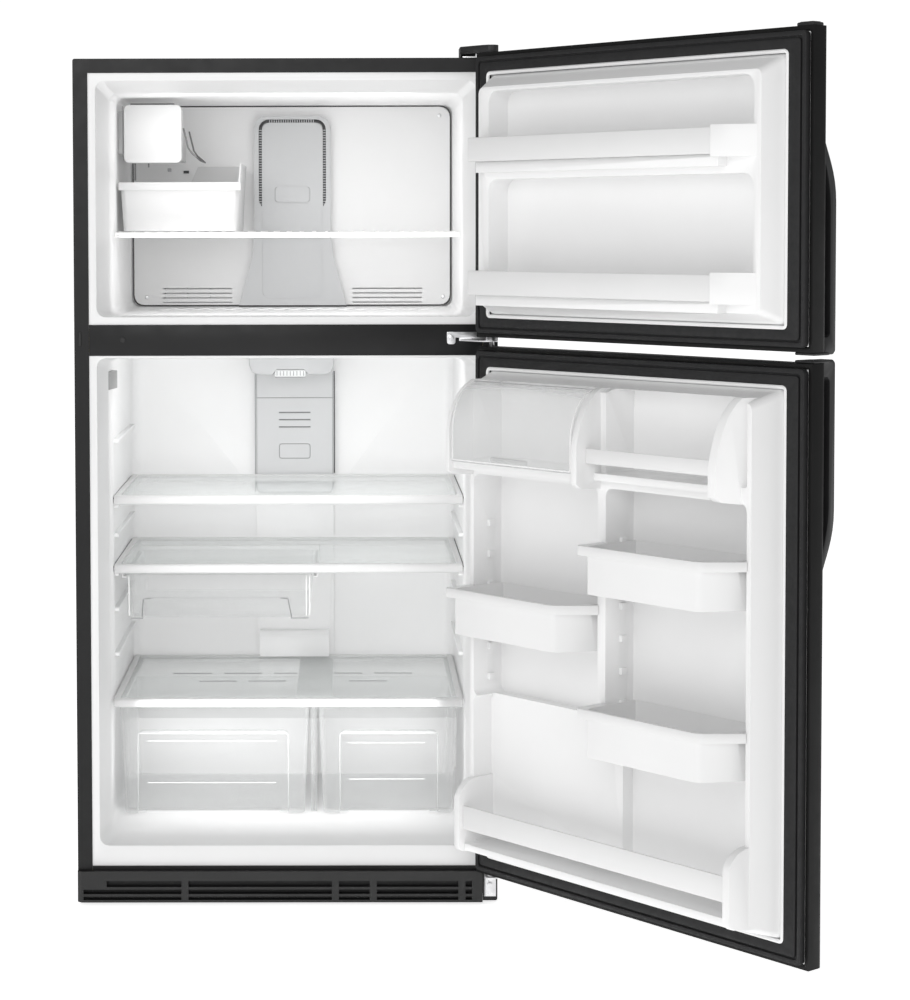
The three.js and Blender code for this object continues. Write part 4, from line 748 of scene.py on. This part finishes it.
def fresh_tower_details():
    """Painted shade in the seams of the fresh food air tower, a painted shadow in the gap down its side, and
    painted shade in its vent slots.
    """
    front = 585.6
    # painted shade: grey lines along the seams, the foot and the label's edge
    seams = Solids()
    seams.rod([(-83, 588, 750), (-83, 588, 1018)], 1.1, 6)
    foot = [(-80, 1015), (-80, 750), (88, 750), (88, 1015)]
    seams.rod(rounded_path([(x, front, z) for x, z in foot], 12, closed=False), 0.8, 6)
    seams.rod([(-81, front, 959), (89, front, 959)], 0.9, 6)
    label = [(-30, 825), (38, 825), (38, 857), (-30, 857)]
    seams.rod(rounded_path([(x, front, z) for x, z in label], 6), 0.9, 6, closed=True)
    seams.piece("fresh_tower_seam_shade", to_row(), "cabinet", "soft_shade_line")

    # painted shadow: a dark rod in the gap down the tower's side
    gaps = Solids()
    gaps.rod([(91.2, 588, 792), (91.2, 588, 1018)], 1.5, 6)
    gaps.piece("fresh_tower_side_gap_shadow", to_row(), "cabinet", "shadow_gap")

    # painted shade: dark slabs in the vent slots
    slots = Solids()
    for z in (893, 909, 925):
        slots.slab((-30.6, 38.6), (587.5, 596), (z + 0.1, z + 2.9), 0.4, 1)
    slots.piece("fresh_tower_slot_shade", to_row(), "cabinet", "slot_shade_and_dark_bits")


def shelf_shadow_lines():
    """Painted shadow in the thin gap along each end of the two upper shelves."""
    half = 355.2
    # painted shadow: a dark rod along each shelf end
    gaps = Solids()
    for top in (791, 651):
        for x in (-half, half):
            gaps.rod([(x, 150, top - 6), (x, 190, top - 2.2), (x, 560, top - 2.2)], 1.0, 6)
    gaps.piece("shelf_end_gap_shadows", to_row(), "cabinet", "shadow_gap")


def crisper_cover_slot_shade():
    """Painted shade in two rows of slots in the glass over the crispers: each row's depth and its spans."""
    rows = (
        (374, ((-252, -169), (-143, -62), (-37, 13), (90, 151), (176, 257))),
        (284, ((-191, -113), (-88, -9), (123, 202))),
    )
    # painted shade: a thin dark slab in each slot
    slots = Solids()
    for y, spans in rows:
        for x in spans:
            slots.slab(x, (y - 2.6, y + 2.6), (385.1, 385.7), 0.25, 1)
    slots.piece("crisper_cover_slot_shade", to_row(), "cabinet", "slot_shade_and_dark_bits")


# each drawer's front: how far back its top edge stands, and its lowest and highest points
CRISPER_FRONT = {"front": 114, "z": (147.5, 362)}
DELI_FRONT = {"front": 150, "z": (538, 628)}
FRONT_SLOPE = 4  # how much further back a front's bottom edge stands
# the lines drawn on the drawer fronts are painted shade and painted highlights
PROUD = 0.5  # how far the lines drawn on a front stand out from it


def front_of(drawer, z):
    """How far back a drawer's sloping front stands at a height, just proud of its surface."""
    y, (low, high) = drawer["front"], drawer["z"]
    return y + FRONT_SLOPE * (high - z) / (high - low) - PROUD


def crisper_shade_and_glints(name, x, steps):
    """Painted shade along the outline of a crisper's hand hold, and painted highlights on the steps that catch the
    light in it.
    """
    low, high = 151, 314
    corners = [(x[0], low), (x[0], high), (x[1], high), (x[1], low)]
    # painted shade: darker clear rods round the hand hold
    edge = Solids()
    path = [(a, front_of(CRISPER_FRONT, b), b) for a, b in corners]
    edge.rod(rounded_path(path, 12, closed=False), 1.0, 8)
    for left, way in ((x[0], 1), (x[1], -1)):
        y = front_of(CRISPER_FRONT, low)
        edge.rod([(left, y, low), (left + way * 16, y + 6, low - 1)], 1.0, 8)
    edge.piece(name + "_hand_hold_shade", to_row(), name, "clear_edge_shade")
    # painted highlights on the steps and along the top edge
    glints = Solids()
    for level in steps:
        y = front_of(CRISPER_FRONT, level) + 20
        glints.rod([(x[0] + 18, y, level), (x[1] - 26, y, level)], 0.8, 8)
    y = front_of(CRISPER_FRONT, high)
    glints.rod([(x[0] + 2, y, high - 3), (x[1] - 2, y, high - 3)], 0.6, 8)
    glints.piece(name + "_glints", to_row(), name, "highlight_edge")


def deli_shade_and_glints():
    """Painted shade at the ends of the deli drawer's hand hold, and painted highlights where its thick clear side
    walls are seen end on.
    """
    # painted shade: dark rods at the hand hold's ends and along its bottom corners
    ends = (((-299, 541), (-296, 579), (-280, 581)), ((6, 541), (-1.4, 579), (-16, 581)))
    edge = Solids()
    for end in ends:
        edge.rod([(x, front_of(DELI_FRONT, z) - 0.6, z) for x, z in end], 0.9, 8)
    for left, right in ((-322, -297), (4, 40)):
        y = front_of(DELI_FRONT, 540)
        edge.rod([(left, y, 539.5), (right, y, 539.5)], 0.7, 6)
    edge.piece("deli_drawer_hand_hold_shade", to_row(), "deli_drawer", "drawer_shade_line")
    # painted highlights: bright rods where the thick clear side walls are seen end on
    bar_highlights = Solids()
    for x in (-325, 36, 43):
        bar_highlights.rod([(x, front_of(DELI_FRONT, z), z) for z in (545, 625)], 1.1, 8)
    bar_highlights.piece("deli_drawer_glints", to_row(), "deli_drawer", "highlight_edge")


def crisper_shelf():
    """The white frame of the crisper shelf, and the clear partition that hangs from it."""
    half, top, front, back = 352, 386, 82, 598
    shelf = Solids()
    shelf.slab((-half, half), (front, front + 26), (top - 16, top), 5.0, 3)
    shelf.slab((-half, half), (back - 12, back), (top - 12, top), 1.0)
    shelf.slab((-half, half), (back - 22, back - 11), (top - 12, top - 5), 0.6)
    for side in (-1, 1):
        outer = sorted((side * half, side * (half - 12)))
        inner = sorted((side * (half - 11), side * (half - 20)))
        shelf.slab(outer, (front + 20, back - 6), (top - 12, top), 1.0)
        shelf.slab(inner, (front + 20, back - 6), (top - 12, top - 5), 0.6)
    shelf.slab((15, 88), (front + 20, back - 6), (top - 14, top - 6), 1.5)
    node = "crisper_shelf_frame"
    shelf.piece(node + "_finish", to_row(), "cabinet", "shelf_white_shaded", node)
    divider = Solids()
    flange = (45, 57)
    divider.slab((49.4, 52.6), (132, 460), (148, 373), 0.8)
    for y in ((130, 137), (455, 462)):
        divider.slab(flange, y, (147.5, 374), 1.4)
    divider.slab(flange, (136, 456), (147.5, 152), 1.2)
    divider.piece("crisper_divider", to_row(), "cabinet", "clear_plastic", node)


def toe_grille_shade_backing():
    """Painted shade: a ribbed black screen that closes the bottom row of the toe grille, so that its slots look
    dark inside.
    """
    count, pitch, thick = 48, 16, 2.4
    screen = Solids()
    # painted shade: a dark ribbed backing behind the bottom row of slots
    screen.slab((-405, 372), (-0.2, 2.0), (1.0, 13.6), 0.4, 1)
    for i in range(count):
        x = -400 + i * pitch
        screen.slab((x, x + thick), (-3.0, 0.4), (1.2, 13.2), 0.6, 1)
    screen.piece("toe_grille_shade_screen", to_row(), "cabinet", "grille_black")


# ------------------------------------------------------------------ on the doors
def dairy_lid_glints_and_shade():
    """Painted highlights drawn as thick beads round the dairy cover's ends and along its lower edge, and a painted
    shade line under its top edge.
    """
    first, bend, last = Vector((77, 1042)), Vector((126, 1034)), Vector((137, 962))
    steps, inset = 12, 1.2
    arc = []
    for k in range(steps + 1):
        t = k / steps
        h, z = first * (1 - t) ** 2 + bend * (2 * t * (1 - t)) + last * t**2
        arc.append((h - inset, z - inset))
    arc.append((135.8, 897))
    # painted highlights: bright beads along the cover's ends and its lower edge
    beads = Solids()
    for u in (81, 395):
        beads.rod([(u, h, z) for h, z in arc], 1.6, 8)
    beads.rod([(82, 135.8, 897), (394, 135.8, 897)], 1.4, 8)
    beads.piece("dairy_lid_bead_highlights", door_frame(), "dairy_lid", "highlight_edge")
    # painted shade: a thin grey line under the cover's top edge
    gap = Solids()
    gap.rod([(80, 78.4, 1042.2), (396, 78.4, 1042.2)], 0.6, 8)
    gap.piece("dairy_lid_top_shade", door_frame(), "dairy_lid", "soft_shade_line")


def light_unit():
    """The lamp cover: a rounded box with a ribbed lens let into the bottom of its front, with painted shade
    between the lens's ribs and along its lower edge.
    """
    housing = Solids()
    low, high = 1020, 1074.5
    section = [(-90, high), (-90, low + 20), (-84, low + 6), (-72, low)]
    notch = [(-37, low), (-33, low + 14), (30, low + 14), (34, low)]
    outline = section + notch + [(-x + 2, z) for x, z in reversed(section)]
    housing.prism(outline, (420.4, 585.4), 2.4)
    housing.piece("light_housing_finish", to_row(), "cabinet", "lamp_grey", "light_housing")
    lens = Solids()
    lens.slab((-35, 32), (421, 470), (1013.4, 1031), 3.0, 3)
    lens.piece("light_lens_finish", to_row(), "cabinet", "lamp_lens", "light_lens")
    # painted shade between the lens's ribs and along its lower edge
    ridge_shade = Solids()
    count, pitch = 9, 7.1
    for i in range(count):
        x = -30 + i * pitch
        ridge_shade.rod([(x, 420.8, 1018), (x, 420.8, 1028)], 0.7, 6)
    ridge_shade.rod([(-34, 421.6, 1015), (31, 421.6, 1015)], 1.0, 6)
    ridge_shade.piece("light_lens_ridge_shade", to_row(), "cabinet", "slot_shade_and_dark_bits")


def ice_maker_details():
    """Painted shade in the gaps round the ice maker's cover, and the small dark bits that hang below it."""
    # painted shade in the gaps left of and above the cover; the rest are small dark bits that hang below it
    gaps = Solids()
    gaps.rod([(-336.6, 206, 1472), (-336.6, 206, 1582)], 1.3, 6)
    gaps.slab((-330, -238), (300, 306), (1588, 1593), 1.5)
    gaps.rod([(-316, 250, 1468), (-316, 250, 1432)], 2.0, 8)
    gaps.slab((-249, -241), (246, 252), (1450, 1457), 1.2)
    gaps.rod([(-288, 250, 1468), (-288, 250, 1459)], 1.6, 6)
    gaps.piece("ice_maker_gap_shade_and_bits", to_row(), "cabinet", "slot_shade_and_dark_bits")


def border_beads():
    """The rounded white foot of each door's border, where it meets the gasket."""
    hinge_side, handle_side, height, inset = 42.5, 783, 9.6, 41
    for name, low, high in (("freezer", 1121.7, 1670.4), ("fresh", 69.8, 1102.8)):
        low, high = low + inset, high - inset
        sides = ((hinge_side, low), (handle_side, low), (handle_side, high), (hinge_side, high))
        bead = Solids()
        bead.rod(rounded_path([(u, height, z) for u, z in sides], 7), 3.6, 8, closed=True)
        body = body_of(name + "_door_liner")
        bead.piece(name + "_door_border_bead", door_frame(), body, "white_liner")


def handle_end_cap():
    """The black cap that wraps the freezer door's top edge, above the handle side."""
    cap = Solids()
    cap.slab((788, 824), (-34, -6), (1669.6, 1676.8), 2.4)
    cap.slab((792, 820), (-30, -10), (1676.4, 1678), 0.7)
    cap.piece("freezer_door_top_cap", door_frame(), body_of("freezer_door_skin"), "black_plastic")


def mullion_plug_and_notch_shade():
    """The round plug at the handle end of the bar between the doors, and painted shade in a notch in the stile
    beside that end.
    """
    plug = Solids()
    plug.dome((-321, -0.1, 1115), (0, -1, 0), 5.5, 1.4)
    # painted shade: a dark slab in the notch in the stile
    plug.slab((-408, -402), (-1.0, 0.4), (1103, 1130), 1.2)
    plug.piece("mullion_plug_and_notch_shade", to_row(), "cabinet", "grille_black")


add_camera()
add_studio()
add_floor()
dress_frame()
for node, radius in SOFTENED.items():
    soften(node, radius)
wire_shelf()
freezer_seam_shadows()
freezer_tower_details()
freezer_screws_and_ribs()
fresh_tower_details()
shelf_shadow_lines()
crisper_cover_slot_shade()
crisper_shade_and_glints("crisper_left", (-306, -1), (205, 291))
crisper_shade_and_glints("crisper_right", (104, 302), (212, 287))
deli_shade_and_glints()
crisper_shelf()
toe_grille_shade_backing()
dairy_lid_glints_and_shade()
light_unit()
ice_maker_details()
border_beads()
handle_end_cap()
mullion_plug_and_notch_shade()
